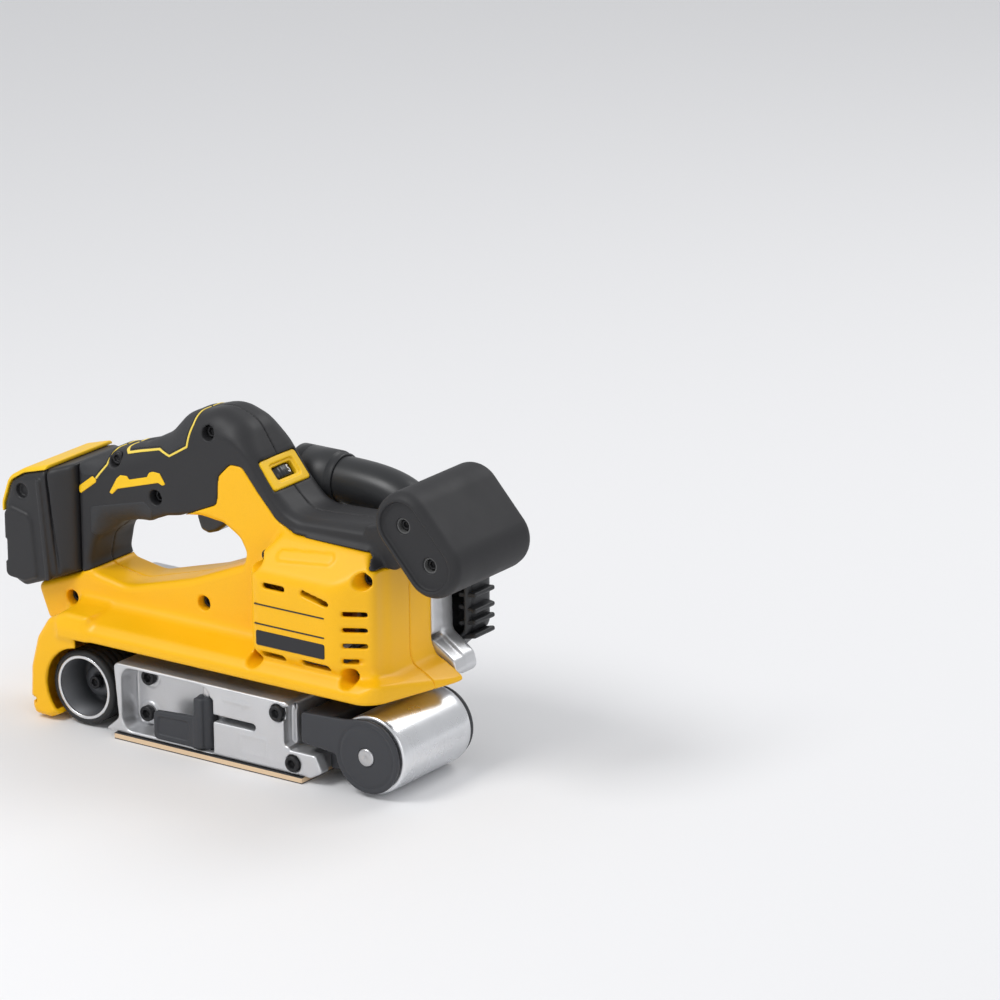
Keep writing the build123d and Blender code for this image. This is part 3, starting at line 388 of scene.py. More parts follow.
def link(name: str, mesh: bpy.types.Mesh) -> bpy.types.Object:
    """Puts a mesh into the scene as an object.

    Args:
        name: the object's name.
        mesh: its mesh.

    Returns:
        The new object.
    """
    piece = bpy.data.objects.new(name, mesh)
    bpy.context.scene.collection.objects.link(piece)
    return piece


def settle(piece: bpy.types.Object) -> bpy.types.Object:
    """Applies a piece's modifiers to its mesh and removes them.

    Args:
        piece: the object with modifiers.

    Returns:
        The same object, with a plain mesh.
    """
    graph = bpy.context.evaluated_depsgraph_get()
    mesh = bpy.data.meshes.new_from_object(piece.evaluated_get(graph), depsgraph=graph)
    piece.modifiers.clear()
    piece.data = mesh
    return piece


def lathe(name: str, profile: Sequence[Point], centre: Sequence[float], axis: str = "y",
          steps: int = 96) -> bpy.types.Object:
    """Turns a closed profile about an axis.

    Args:
        name: the new object's name.
        profile: (radius, along) corners of the section, in order.
        centre: a point on the axis, in millimetres; its place along the axis isn't used.
        axis: x, y or z.
        steps: pieces in the full turn.

    Returns:
        The turned mesh object.
    """
    ring = np.array(profile, float)
    angles = np.arange(steps) * 2 * math.pi / steps
    radius, along = ring[:, 0][None, :], ring[:, 1][None, :]
    side = radius * np.cos(angles)[:, None]
    rise = radius * np.sin(angles)[:, None]
    flat = np.broadcast_to(along, side.shape)
    cx, cy, cz = centre
    parts = {"x": (flat, side + cy, rise + cz), "y": (side + cx, flat, rise + cz),
             "z": (side + cx, rise + cy, flat)}[axis]
    places = np.stack(parts, -1).reshape(-1, 3) * MM
    count = len(profile)
    turn, step = np.meshgrid(np.arange(steps), np.arange(count), indexing="ij")
    near = turn * count + step
    quads = np.stack([near, turn * count + (step + 1) % count,
                      (turn + 1) % steps * count + (step + 1) % count,
                      (turn + 1) % steps * count + step], -1).reshape(-1, 4)
    mesh = bpy.data.meshes.new(name)
    mesh.from_pydata(places.tolist(), [], quads.tolist())
    shape = bmesh.new()
    shape.from_mesh(mesh)
    bmesh.ops.remove_doubles(shape, verts=shape.verts, dist=1e-6)
    bmesh.ops.dissolve_degenerate(shape, edges=shape.edges, dist=1e-7)
    bmesh.ops.recalc_face_normals(shape, faces=shape.faces)
    for face in shape.faces:
        face.smooth = True
    shape.to_mesh(mesh)
    shape.free()
    return link(name, mesh)


def soften(piece: bpy.types.Object, width: float = 0.4, segments: int = 2,
           angle: float = 32.0) -> bpy.types.Object:
    """Rounds a piece's hard edges.

    Args:
        piece: the mesh object.
        width: width of the rounding in millimetres.
        segments: faces across it.
        angle: edges that turn more than this many degrees are rounded.

    Returns:
        The same object, with the rounding in its mesh.
    """
    bevel = piece.modifiers.new("edges", "BEVEL")
    bevel.width, bevel.segments = width * MM, segments
    bevel.limit_method, bevel.angle_limit = "ANGLE", math.radians(angle)
    bevel.harden_normals = True
    return settle(piece)


# ------------------------------------------------------------------ finishes
class Pattern(Enum):
    """The surface texture of a finish."""

    SPARKED = "fine moulded texture"
    PEBBLED = "pebbled grip"
    CAST = "blasted casting"
    TURNED = "turned or ground metal"
    GRANULES = "cork granules"
    POLISHED = "polished plastic"


@dataclass(frozen=True)
class Finish:
    """One procedural material.

    The grain is the size of the texture in millimetres and the relief its depth in
    millimetres; mottle is the share by which the colour varies over some centimetres.
    """

    name: str
    slot: str
    colour: tuple[float, float, float]
    roughness: float
    metallic: float = 0.0
    pattern: Pattern = Pattern.SPARKED
    grain: float = 0.5
    relief: float = 0.02
    mottle: float = 0.05
    wear: float = 0.0
    coat: float = 0.0
    second: tuple[float, float, float] = (0.5, 0.5, 0.5)

    def material(self) -> bpy.types.Material:
        """Makes the material, or finds it if it is made already."""
        made = bpy.data.materials.get(self.name)
        if made:
            return made
        material = bpy.data.materials.new(self.name)
        material.use_nodes = True
        material.diffuse_color = (*self.colour, 1)
        nodes, links = material.node_tree.nodes, material.node_tree.links
        shader = nodes["Principled BSDF"]
        shader.inputs["Metallic"].default_value = self.metallic
        shader.inputs["Coat Weight"].default_value = self.coat
        shader.inputs["Coat Roughness"].default_value = 0.25
        shader.inputs["Specular IOR Level"].default_value = 0.5 if self.metallic else 0.36
        place = nodes.new("ShaderNodeTexCoord")
        scale = nodes.new("ShaderNodeMapping")
        scale.inputs["Scale"].default_value = self._stretch()
        links.new(place.outputs["Object"], scale.inputs["Vector"])
        height = self._height(nodes, links, scale)
        bump = nodes.new("ShaderNodeBump")
        bump.inputs["Strength"].default_value = 0.6
        bump.inputs["Distance"].default_value = self.relief * MM
        links.new(height, bump.inputs["Height"])
        links.new(bump.outputs["Normal"], shader.inputs["Normal"])
        cloud = nodes.new("ShaderNodeTexNoise")
        cloud.inputs["Scale"].default_value = 45.0
        cloud.inputs["Detail"].default_value = 5.0
        links.new(place.outputs["Object"], cloud.inputs["Vector"])
        links.new(self._colour(nodes, links, cloud, height), shader.inputs["Base Color"])
        gloss = nodes.new("ShaderNodeMapRange")
        gloss.inputs["From Min"].default_value = 0.3
        gloss.inputs["From Max"].default_value = 0.7
        gloss.inputs["To Min"].default_value = max(0.03, self.roughness - 0.06)
        gloss.inputs["To Max"].default_value = min(1.0, self.roughness + 0.06)
        links.new(cloud.outputs["Fac"], gloss.inputs["Value"])
        links.new(gloss.outputs["Result"], shader.inputs["Roughness"])
        return material

    def _stretch(self) -> tuple[float, float, float]:
        """The texture's scale on each axis, long across the turning on turned metal."""
        fine = 1.0 / (self.grain * MM)
        if self.pattern is Pattern.TURNED:
            return (fine * 0.02, fine, fine * 0.02)
        return (fine, fine, fine)

    def _height(self, nodes: bpy.types.Nodes, links: bpy.types.NodeLinks,
                scale: bpy.types.Node) -> bpy.types.NodeSocket:
        """Adds the texture that the relief comes from.

        Args:
            nodes: the material's nodes.
            links: the material's links.
            scale: the node that scales the coordinates.

        Returns:
            The socket that holds the height.
        """
        if self.pattern in (Pattern.PEBBLED, Pattern.GRANULES):
            cells = nodes.new("ShaderNodeTexVoronoi")
            cells.feature = "SMOOTH_F1"
            cells.inputs["Scale"].default_value = 1.0
            cells.inputs["Smoothness"].default_value = 0.4
            links.new(scale.outputs["Vector"], cells.inputs["Vector"])
            turned = nodes.new("ShaderNodeMath")
            turned.operation = "SUBTRACT"
            turned.inputs[0].default_value = 1.0
            links.new(cells.outputs["Distance"], turned.inputs[1])
            return turned.outputs["Value"]
        noise = nodes.new("ShaderNodeTexNoise")
        noise.inputs["Scale"].default_value = 1.0
        noise.inputs["Detail"].default_value = 4.0 if self.pattern is Pattern.CAST else 2.0
        noise.inputs["Roughness"].default_value = 0.6
        links.new(scale.outputs["Vector"], noise.inputs["Vector"])
        return noise.outputs["Fac"]

    def _colour(self, nodes: bpy.types.Nodes, links: bpy.types.NodeLinks,
                cloud: bpy.types.Node, height: bpy.types.NodeSocket) -> bpy.types.NodeSocket:
        """Adds the colour with its variation, its grain and its worn edges.

        Args:
            nodes: the material's nodes.
            links: the material's links.
            cloud: the slow noise.
            height: the relief's socket.

        Returns:
            The socket that holds the colour.
        """
        def mix(factor: bpy.types.NodeSocket, low: Array, high: Array,
                span: Point = (0.3, 0.7)) -> bpy.types.NodeSocket:
            """Runs from the low colour to the high one as the factor crosses the span."""
            ramp = nodes.new("ShaderNodeValToRGB")
            ramp.color_ramp.elements[0].position, ramp.color_ramp.elements[1].position = span
            ramp.color_ramp.elements[0].color = (*low, 1)
            ramp.color_ramp.elements[1].color = (*high, 1)
            links.new(factor, ramp.inputs["Fac"])
            return ramp.outputs["Color"]

        def over(base: bpy.types.NodeSocket, top: bpy.types.NodeSocket | Array,
                 share: bpy.types.NodeSocket | float) -> bpy.types.NodeSocket:
            """Lays the top colour over the base by the share."""
            blend = nodes.new("ShaderNodeMix")
            blend.data_type = "RGBA"
            links.new(base, blend.inputs[6])
            if isinstance(top, bpy.types.NodeSocket):
                links.new(top, blend.inputs[7])
            else:
                blend.inputs[7].default_value = (*top, 1)
            if isinstance(share, bpy.types.NodeSocket):
                links.new(share, blend.inputs[0])
            else:
                blend.inputs[0].default_value = share
            return blend.outputs[2]

        base = np.array(self.colour)
        result = mix(cloud.outputs["Fac"], base * (1 - self.mottle), np.minimum(base * (1 + self.mottle), 1))
        if self.pattern is Pattern.GRANULES:
            result = over(result, mix(height, np.array(self.second), base, (0.25, 0.75)), 0.75)
        else:
            result = over(result, mix(height, base * 0.85, np.minimum(base * 1.12, 1)), 0.25)
        if self.wear:
            edges = nodes.new("ShaderNodeNewGeometry")
            worn = nodes.new("ShaderNodeMapRange")
            worn.inputs["From Min"].default_value = 0.53
            worn.inputs["From Max"].default_value = 0.62
            worn.inputs["To Max"].default_value = self.wear
            links.new(edges.outputs["Pointiness"], worn.inputs["Value"])
            result = over(result, np.minimum(base * 1.5 + 0.06, 1), worn.outputs["Result"])
        return result


YELLOW = Finish("casing yellow", "housing_yellow", (0.96, 0.50, 0.003), 0.38, relief=0.014, grain=0.45,
                mottle=0.015, wear=0.10)
ACCENT = Finish("rim yellow", "accent_yellow", (0.93, 0.56, 0.01), 0.40, relief=0.01, mottle=0.02, wear=0.1)
STRIPE = Finish("pale stripe", "accent_yellow", (0.88, 0.66, 0.10), 0.42, relief=0.005, mottle=0.02)
GRIP = Finish("grip black", "grip_black", (0.023, 0.023, 0.025), 0.5, relief=0.02, grain=0.4,
              mottle=0.06, wear=0.12)
PANEL = Finish("grip pebbled", "grip_black", (0.036, 0.037, 0.04), 0.6, pattern=Pattern.PEBBLED,
               grain=0.75, relief=0.12, mottle=0.06, wear=0.08)
DOCK = Finish("dock black", "dock_black", (0.024, 0.024, 0.026), 0.46, relief=0.02, wear=0.12)
SLEEVE = Finish("handle rubber", "knob_rubber", (0.022, 0.022, 0.024), 0.6, relief=0.03, grain=0.6,
                mottle=0.08, wear=0.10)
SHELL = Finish("cover black", "cover_black", (0.025, 0.026, 0.028), 0.36, relief=0.015, wear=0.15)
GLOSSY = Finish("trigger black", "trigger_black", (0.018, 0.015, 0.014), 0.22, pattern=Pattern.POLISHED,
                relief=0.006, grain=2.0, coat=0.3)
WHEEL = Finish("wheel black", "trigger_black", (0.02, 0.02, 0.024), 0.3, pattern=Pattern.POLISHED,
               relief=0.004, coat=0.3)
FIGURE = Finish("figure white", "insulator", (0.85, 0.85, 0.86), 0.4, relief=0.003, mottle=0.02)
CASTING = Finish("cast aluminium", "cast_aluminium", (0.66, 0.665, 0.68), 0.36, 0.75, Pattern.CAST,
                 grain=0.5, relief=0.035, mottle=0.05, wear=0.5)
GRAPHITE = Finish("lever graphite", "lever_grey", (0.042, 0.044, 0.05), 0.45, pattern=Pattern.CAST,
                  grain=0.4, relief=0.02, mottle=0.06, wear=0.25)
ROLLER = Finish("roller aluminium", "roller_aluminium", (0.76, 0.77, 0.79), 0.3, 0.95, Pattern.TURNED,
                grain=0.35, relief=0.01, mottle=0.04, wear=0.3)
GROUND = Finish("ground steel", "bright_steel", (0.56, 0.56, 0.57), 0.3, 1.0, Pattern.TURNED,
                grain=0.3, relief=0.006, mottle=0.05, wear=0.3)
OXIDE = Finish("black oxide", "dark_steel", (0.02, 0.02, 0.022), 0.42, 0.5, Pattern.CAST, grain=0.3,
               relief=0.01, mottle=0.1, wear=0.3)
TYRE = Finish("tyre rubber", "drum_rubber", (0.022, 0.022, 0.023), 0.62, relief=0.05, grain=0.5,
              mottle=0.1, wear=0.15)
HUB = Finish("hub dark", "drum_hub", (0.075, 0.078, 0.085), 0.45, 0.4, Pattern.CAST, relief=0.03,
             mottle=0.1, wear=0.3)
CORK = Finish("cork", "cork", (0.62, 0.38, 0.19), 0.85, pattern=Pattern.GRANULES, grain=1.3, relief=0.15,
              mottle=0.12, second=(0.30, 0.15, 0.06))
CLOTH = Finish("sole sheet", "sole_graphite", (0.05, 0.05, 0.052), 0.5, pattern=Pattern.PEBBLED, grain=0.6,
               relief=0.04)
BELTING = Finish("belt rubber", "belt_rubber", (0.02, 0.02, 0.02), 0.6, relief=0.04)
PLATES = Finish("laminations", "lamination", (0.32, 0.33, 0.35), 0.4, 0.9, Pattern.TURNED, grain=0.35,
                relief=0.03, mottle=0.06)
WIRE = Finish("enamelled copper", "copper", (0.55, 0.2, 0.07), 0.35, 0.8, Pattern.TURNED, grain=0.8,
              relief=0.1, mottle=0.1)
MOULDED = Finish("insulator", "insulator", (0.04, 0.04, 0.045), 0.5, relief=0.03, wear=0.1)
CONTACT = Finish("contact metal", "contact_metal", (0.72, 0.58, 0.3), 0.25, 1.0, Pattern.TURNED, relief=0.004)
SPRING = Finish("spring steel", "spring_steel", (0.4, 0.41, 0.43), 0.3, 1.0, Pattern.TURNED, relief=0.01)
LABEL = Finish("label dark", "plate_blank", (0.02, 0.02, 0.023), 0.35, pattern=Pattern.POLISHED, relief=0.003)

NODE_FINISHES: dict[str, Finish] = {
    "terminal_block": MOULDED, "terminal_blades": CONTACT, "dial_spindle": GROUND, "cork_pad": CORK,
    "sole_sheet": CLOTH, "sole_backing": OXIDE, "lever_pin": GROUND, "slide_bar": OXIDE,
    "tension_spring": SPRING, "steering_pin": GROUND, "idler_bearings": GROUND, "tracking_screw": GROUND,
    "drum_shaft": GROUND, "drum_pulley": ROLLER, "motor_pulley": GROUND, "drive_belt": BELTING,
    "drum_bearings": GROUND, "motor_bearings": GROUND, "stator_core": PLATES, "stator_windings": WIRE,
    "motor_carrier": MOULDED, "rotor_core": PLATES, "rotor_shaft": GROUND, "cooling_fan": MOULDED,
    "switch_module": MOULDED, "control_board": MOULDED, "motor_leads": BELTING,
    "handle_pin": GROUND, "knob_core": MOULDED,
}


def dress(piece: bpy.types.Object, finish: Finish, body: str, *nodes: str) -> bpy.types.Object:
    """Gives a piece its finish, its body and the frame nodes that it stands for.

    Args:
        piece: the mesh object.
        finish: the finish of the whole piece.
        body: the body that it moves with.
        nodes: the frame nodes that it replaces, if any.

    Returns:
        The same object.
    """
    if not any(slot.material for slot in piece.material_slots):
        piece.data.materials.clear()
        piece.data.materials.append(finish.material())
    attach(piece, body)
    if nodes:
        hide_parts(*nodes)
    log.info("%s: %d faces, %s", piece.name, len(piece.data.polygons), finish.name)
    return piece


def pitch(fine: float, quick: float = 0.0) -> float:
    return fine


# ------------------------------------------------------------------ casing and grips
@dataclass
class Casing:
    """The yellow casing and its black grip, parted down the middle into halves."""

    near: float = -12.0
    far: float = 28.0
    middle: float = 8.0
    wall: float = 3.0
    skirt_near: float = -37.0
    skirt_far: float = 30.0
    bump_near: float = -34.0
    drum: Span = field(default_factory=lambda: Span.of("drum_rubber"))
    motor: Span = field(default_factory=lambda: Span.of("rotor_core"))
    slope_at: tuple[float, float] = (22.0, 158.6)
    slope_normal: tuple[float, float] = (0.778, 0.628)
    body: tuple[Point, ...] = (
        (-131, 49), (-139, 69.5), (-107, 81.7), (-107, 145), (-89, 154), (-66, 161), (-47, 171),
        (-35, 184), (-12, 191), (6, 185), (16, 170), (28, 152), (42, 140), (98, 144), (104, 132),
        (104, 54), (-100, 54))
    body_radii: tuple[float, ...] = (4, 4, 1, 2, 14, 20, 24, 18, 22, 18, 30, 60, 16, 4, 3, 2, 2)
    window: tuple[Point, ...] = (
        (-101, 84), (-97, 102), (-84, 113), (-60, 119), (-46, 125), (-38, 126.5), (-32, 128),
        (-22, 129.5), (-6, 128), (5, 121.5), (9, 114), (7, 107), (-30, 92), (-75, 79.5))
    window_radii: tuple[float, ...] = (6, 12, 12, 20, 8, 8, 8, 10, 10, 8, 5, 5, 30, 20)
    grip: tuple[Point, ...] = (
        (-107, 81.7), (-101, 84), (-62, 100), (-47.5, 122), (-27, 131), (-9.5, 138.5), (-8, 155),
        (0, 163), (8, 163), (19, 150), (32, 136), (46, 132), (96, 131), (101, 123.5), (130, 122),
        (130, 220), (-107, 220))
    grip_radii: tuple[float, ...] = (1, 1, 2, 2, 6, 4, 5, 5, 5, 20, 14, 10, 2, 2, 1, 1, 1)
    bump: tuple[Point, ...] = (
        (24, 66), (32, 57), (94, 57), (104, 66), (104, 124), (94, 133), (38, 133), (24, 114))
    guard: tuple[Point, ...] = (
        (-84, 66), (-100, 66), (-113, 60), (-121, 48), (-126, 30), (-127, 10), (-124, 2),
        (-113, 1.5), (-100, 8), (-84, 30))
    guard_radii: tuple[float, ...] = (1, 8, 8, 8, 8, 5, 3, 3, 4, 1)
    ear: tuple[Point, ...] = (
        (90, 131), (90, 144), (107, 148.5), (118, 148), (122.3, 141), (122.3, 134), (117, 127.5),
        (109.5, 122.5), (100, 122.5))
    ear_radii: tuple[float, ...] = (2, 3, 5, 6, 5, 5, 4, 3, 2)
    ear_gap: Point = (-3.3, 19.3)
    ear_edge: float = 1.6
    body_post: float = 8.0
    grip_post: float = 6.8
    seat_post: float = 12.5
    seat_bore: float = 9.52
    stripe_half: float = 0.62
    top_stripe: tuple[Point, ...] = (
        (-79, 162), (-77.2, 156.8), (-74.2, 155.6), (-50, 162.6), (-41.4, 160.7), (-29, 168.1),
        (-26.1, 180.7), (-26.5, 190))
    rear_stripe: tuple[Point, ...] = ((-87, 159), (-86.2, 154), (-86.8, 147.4), (-93.1, 139.2))
    wedge: tuple[Point, ...] = (
        (-106.6, 131.7), (-95.7, 139.9), (-92.9, 138.0), (-93.6, 136.4), (-104.4, 128.4),
        (-106.6, 129.2))
    badge: tuple[Point, ...] = (
        (-84.0, 132.4), (-78.4, 141.7), (-76.0, 143.8), (-71.3, 144.1), (-69.8, 142.3),
        (-57.2, 146.0), (-55.6, 148.8), (-53.0, 149.8), (-48.3, 149.6), (-44.4, 143.8),
        (-46.6, 142.9), (-49.4, 144.0), (-78.0, 135.6), (-82.0, 131.8))
    under: tuple[Point, ...] = ((-98, 122), (-60, 131.5), (-54, 127), (-58, 116), (-86, 108), (-98, 104))
    well: float = 4.3
    well_floor: float = -15.0
    grip_well: float = 4.2
    body_screws: tuple[Point, ...] = ((29, 118), (29, 64), (98, 118), (92, 64))
    spine_screws: tuple[Point, ...] = ((-113, 66), (-20, 80))
    grip_screws: tuple[Point, ...] = ((-82, 151), (-52, 135), (-15, 178))

    def handle(self, g: Grid) -> Array:
        """Spine, web and handle, more rounded where the hand goes round it.

        Args:
            g: the block to measure on.

        Returns:
            Distances to the solid form.
        """
        flat = np.maximum(g.outline(rounded(self.body, self.body_radii)),
                          -g.outline(rounded(self.window, self.window_radii)))
        deep = g.outline(rounded(self.grip, self.grip_radii))
        edge = 4.0 + 10.5 * ease(-deep, 2.0, 20.0) * ease(g.z, 96.0, 116.0)
        return g.prism(flat, self.near, self.far, edge)

    def housing(self, g: Grid) -> Array:
        """The motor housing: a block that narrows to its outer face.

        Args:
            g: the block to measure on.

        Returns:
            Distances to the solid form.
        """
        shape = g.outline(rounded(self.bump, 5.0)) + 0 * g.y
        top, face = 133.0, self.bump_near
        for normal, point in (
            ((0, -1, 0), (0, face, 0)),
            ((0, -1.0, 0.98), (0, face, 113.5)),
            ((0, -0.6, -0.8), (0, face, 68.0)),
            ((-0.75, -0.66, 0), (31.0, face, 0)),
            ((0.5, -0.866, 0), (84.5, face, 0)),
        ):
            shape = common(shape, g.facing(normal, point), 3.5)
        return np.maximum(shape, g.y - self.far).astype(np.float32)

    def skirt(self, g: Grid) -> Array:
        """The long shelf over the rollers.

        Args:
            g: the block to measure on.

        Returns:
            Distances to the solid form.
        """
        cross = rounded([(self.skirt_near, 51.5), (self.skirt_near, 57), (self.skirt_near + 5, 62),
                         (self.near, 68), (self.skirt_far, 68), (self.skirt_far, 51.5)],
                        [2.5, 4, 6, 6, 2, 1])
        length = rounded([(-104, 51.5), (-104, 68), (98, 68), (114, 61), (125, 54.5), (125, 51.5)],
                         [1, 1, 8, 10, 3, 2])
        plan = rounded([(-104, self.skirt_near), (110, self.skirt_near), (127, self.skirt_far),
                        (-104, self.skirt_far)], [1, 16, 2, 1])
        shape = common(g.outline(cross, "x"), g.outline(length, "y"), 1.5)
        return common(shape, g.outline(plan, "z"), 2.0)

    def hood(self, g: Grid) -> Array:
        """The arch that wraps the rear drum.

        Args:
            g: the block to measure on.

        Returns:
            Distances to the solid form.
        """
        flat = g.outline(rounded(self.guard, self.guard_radii))
        return g.prism(flat, self.bump_near - 1.5, self.skirt_far, 4.0)

    def cheeks(self, g: Grid) -> Array:
        """The two ears at the deck's front that hold the front handle's pin.

        Args:
            g: the block to measure on.

        Returns:
            Distances to both ears.
        """
        flat = g.outline(rounded(self.ear, self.ear_radii))
        near = g.prism(flat, self.near, self.ear_gap[0], self.ear_edge)
        return np.minimum(near, g.prism(flat, self.ear_gap[1], self.far, self.ear_edge))

    def outside(self, g: Grid) -> Array:
        """The whole casing as one solid form, before it is parted and hollowed.

        Args:
            g: the block to measure on.

        Returns:
            Distances to the solid form.
        """
        shape = join(self.handle(g), self.skirt(g), 7.0)
        shape = join(shape, self.hood(g), 5.0)
        shape = join(shape, self.housing(g), 5.0)
        pad = g.outline(capsule((44.5, -25.0), (75.0, -22.5), 2.6), "z")
        pad = common(shape - 0.8, np.maximum(pad, 112.0 - g.z), 0.8)
        return np.minimum(shape, pad)

    def slope_box(self, g: Grid, along: float, half: float, depth: float) -> Array:
        """A box on the sloped face under the hump, sized along, across and into it.

        Args:
            g: the block to measure on.
            along: half its length down the slope.
            half: half its width across it.
            depth: how far it reaches in and out.

        Returns:
            Distances to the box.
        """
        nx, nz = self.slope_normal
        out = (g.x - self.slope_at[0]) * nx + (g.z - self.slope_at[1]) * nz
        down = (g.x - self.slope_at[0]) * nz - (g.z - self.slope_at[1]) * nx
        sides = np.maximum(np.abs(down) - along, np.abs(g.y - self.middle) - half)
        return np.maximum(sides, np.abs(out) - depth).astype(np.float32)

    def cuts(self, g: Grid) -> Array:
        """Everything that is taken out of the casing for what goes in it or through it.

        Args:
            g: the block to measure on.

        Returns:
            Distances to all that is taken out.
        """
        cx, _, cz = self.drum.centre
        radius = self.drum.size[2] / 2
        shape = g.rod((cx, cz), radius + 2.0, -60, 60)
        shape = np.minimum(shape, g.block((cx - 2, 101), (-60, 60), (-5, 51.5), 0.2))
        shape = np.minimum(shape, g.block((-101, 100), (self.skirt_near + self.wall, 27), (45, 58)))
        mx, _, mz = self.motor.centre
        shape = np.minimum(shape, g.rod((mx, mz), 29.0, 20, 60))
        shape = np.minimum(shape, g.block((-44, -3), (-1.5, 17.5), (104, 139), 1.0))
        shape = np.minimum(shape, g.rod((86, 44.5), 15.5, 128.2, 200, across="z"))
        shape = np.minimum(shape, self.slope_box(g, 9.25, 16.0, 4.0))
        shape = np.minimum(shape, g.rod((-33, 152), 5.3, 20, 60))
        shape = np.minimum(shape, g.rod((113, 138), 4.03, -60, 60))
        for x, z in self.body_screws:
            taper = 0.9 * ease(-g.y, 14.0, 34.0)
            shape = np.minimum(shape, g.rod((x, z), self.well, -60, self.well_floor, 0.3) - taper)
        for x, z in self.spine_screws + self.grip_screws:
            shape = np.minimum(shape, g.rod((x, z), self.grip_well, -60, self.near + 7.5, 0.8))
        shape = np.minimum(shape, g.rod((-124.1, 10.2), 2.2, -60, self.bump_near + 4.0))
        return np.minimum(shape, self.vents(g))

    def vents(self, g: Grid) -> Array:
        """The slots round the label and the louvres on the front slant.

        Args:
            g: the block to measure on.

        Returns:
            Distances to the slots.
        """
        face = self.bump_near
        shape = np.full((1, 1, 1), 9.0, np.float32)
        for start, end in (((39.0, 107.3), (50.5, 107.3)), ((64.5, 107.6), (79.5, 104.2)),
                           ((36.5, 67.8), (49.5, 67.6)), ((63.5, 67.8), (79.5, 67.6))):
            shape = np.minimum(shape, g.prism(capsule(start, end, 1.7), face - 9, face + 7, 0.2))
        for row in range(4):
            z = 99.6 - 8.9 * row
            inner = face + (3.0 if row == 3 else 22.0)
            slot = g.block((88.0, 100.5), (face - 9, inner + 6), (z - 1.3, z + 1.3), 1.0)
            shape = np.minimum(shape, slot)
        return shape

    def posts(self, g: Grid) -> Array:
        """Screw posts and the motor bearing's seat inside the casing.

        Args:
            g: the block to measure on.

        Returns:
            Distances to the posts.
        """
        shape = np.full((1, 1, 1), 9.0, np.float32)
        for x, z in self.body_screws:
            shape = np.minimum(shape, g.rod((x, z), self.body_post, self.bump_near, 25))
        for x, z in self.spine_screws + self.grip_screws:
            shape = np.minimum(shape, g.rod((x, z), self.grip_post, self.near, 25))
        mx, _, mz = self.motor.centre
        return np.minimum(shape, g.rod((mx, mz), self.seat_post, self.bump_near + 1, self.bump_near + 9.5))

    def build(self) -> None:
        """Makes the four shells."""
        g = Grid((-144, -42, -2), (131, 34, 196), pitch(0.95, 1.6))
        outside = self.outside(g)
        shell = without(outside, outside + self.wall)
        shell = np.minimum(shell, np.maximum(self.posts(g), outside))
        mx, _, mz = self.motor.centre
        seat = g.rod((mx, mz), self.seat_bore, self.bump_near + 3, self.bump_near + 11, 0.1)
        region = g.outline(rounded(self.grip, self.grip_radii))
        cuts = self.cuts(g)
        yellow = np.maximum(without(np.maximum(shell, -region + 0.08), cuts, 0.9), -seat)
        black = np.minimum(np.maximum(shell, region + 0.08), self.cheeks(g))
        black = without(np.maximum(black, region + 0.08), cuts, 0.9)
        for side, low in (("near", True), ("far", False)):
            part = (g.y - self.middle if low else self.middle - g.y) + 0.05
            dress(g.surface(np.maximum(yellow, part), f"{side}_casing"), YELLOW, "casing",
                  f"{side}_housing")
            dress(g.surface(np.maximum(black, part), f"{side}_handle_cover"), GRIP, "casing",
                  f"{side}_grip")

    def inlay(self, name: str, finish: Finish, flat: Callable[[Grid], Array], low: Point,
              high: Point, height: float, fine: float = 0.3) -> None:
        """Makes a thin trim that follows the grip's surface, one on each side.

        Args:
            name: the piece's name, to which the side is added.
            finish: its finish.
            flat: gives the trim's outline as distances on a grid.
            low: lowest (x, z) of the space it needs.
            high: highest (x, z) of the space it needs.
            height: how far it stands proud, in millimetres.
            fine: sample spacing.
        """
        for side, limits in (("near", (self.near - 2, self.middle - 0.4)),
                             ("far", (self.middle + 0.4, self.far + 2))):
            g = Grid((low[0], limits[0], low[1]), (high[0], limits[1], high[1]), pitch(fine, 0.6))
            skin = self.handle(g)
            layer = np.maximum(skin - height, -skin - 0.7)
            shape = common(layer, flat(g) + 0 * g.y, 0.3)
            shape = np.maximum(shape, g.between("y", limits[0] + 0.7, limits[1] - 0.35))
            for x, z in self.grip_screws:
                shape = np.maximum(shape, 4.9 - np.hypot(g.x - x, g.z - z) + 0 * g.y)
            dress(g.surface(shape, f"{name}_{side}"), finish, "casing")

    def trim(self) -> None:
        """Makes the stripes, the badge, the wedges and the pebbled panels."""
        top, rear, half = list(self.top_stripe), list(self.rear_stripe), self.stripe_half
        self.inlay("top_stripe", STRIPE, lambda g: g.line(top) - half, (-82, 150), (-22, 192), 0.35)
        panel = top + [(-26.5, 200), (-79, 200)]
        self.inlay("top_panel", PANEL, lambda g: g.outline(panel) + 1.2, (-80, 152), (-24, 190),
                   0.3, 0.6)
        self.inlay("rear_stripe", STRIPE, lambda g: g.line(rear) - half, (-100, 136), (-83, 160), 0.35)
        rear_panel = rear + [(-103, 137.5), (-106.4, 141), (-106.4, 160)]
        self.inlay("rear_panel", PANEL, lambda g: g.outline(rounded(rear_panel, 1.5)) + 1.2,
                   (-108, 134), (-84, 162), 0.3, 0.6)
        self.inlay("side_wedge", ACCENT, lambda g: g.outline(rounded(self.wedge, 0.9)), (-109, 127),
                   (-91, 144), 0.5)
        self.inlay("side_badge", ACCENT, lambda g: g.outline(rounded(self.badge, 0.7)), (-87, 129),
                   (-41, 153), 0.5)
        self.inlay("under_panel", PANEL, lambda g: g.outline(rounded(self.under, 3.0)), (-100, 102),
                   (-52, 134), 0.25, 0.6)


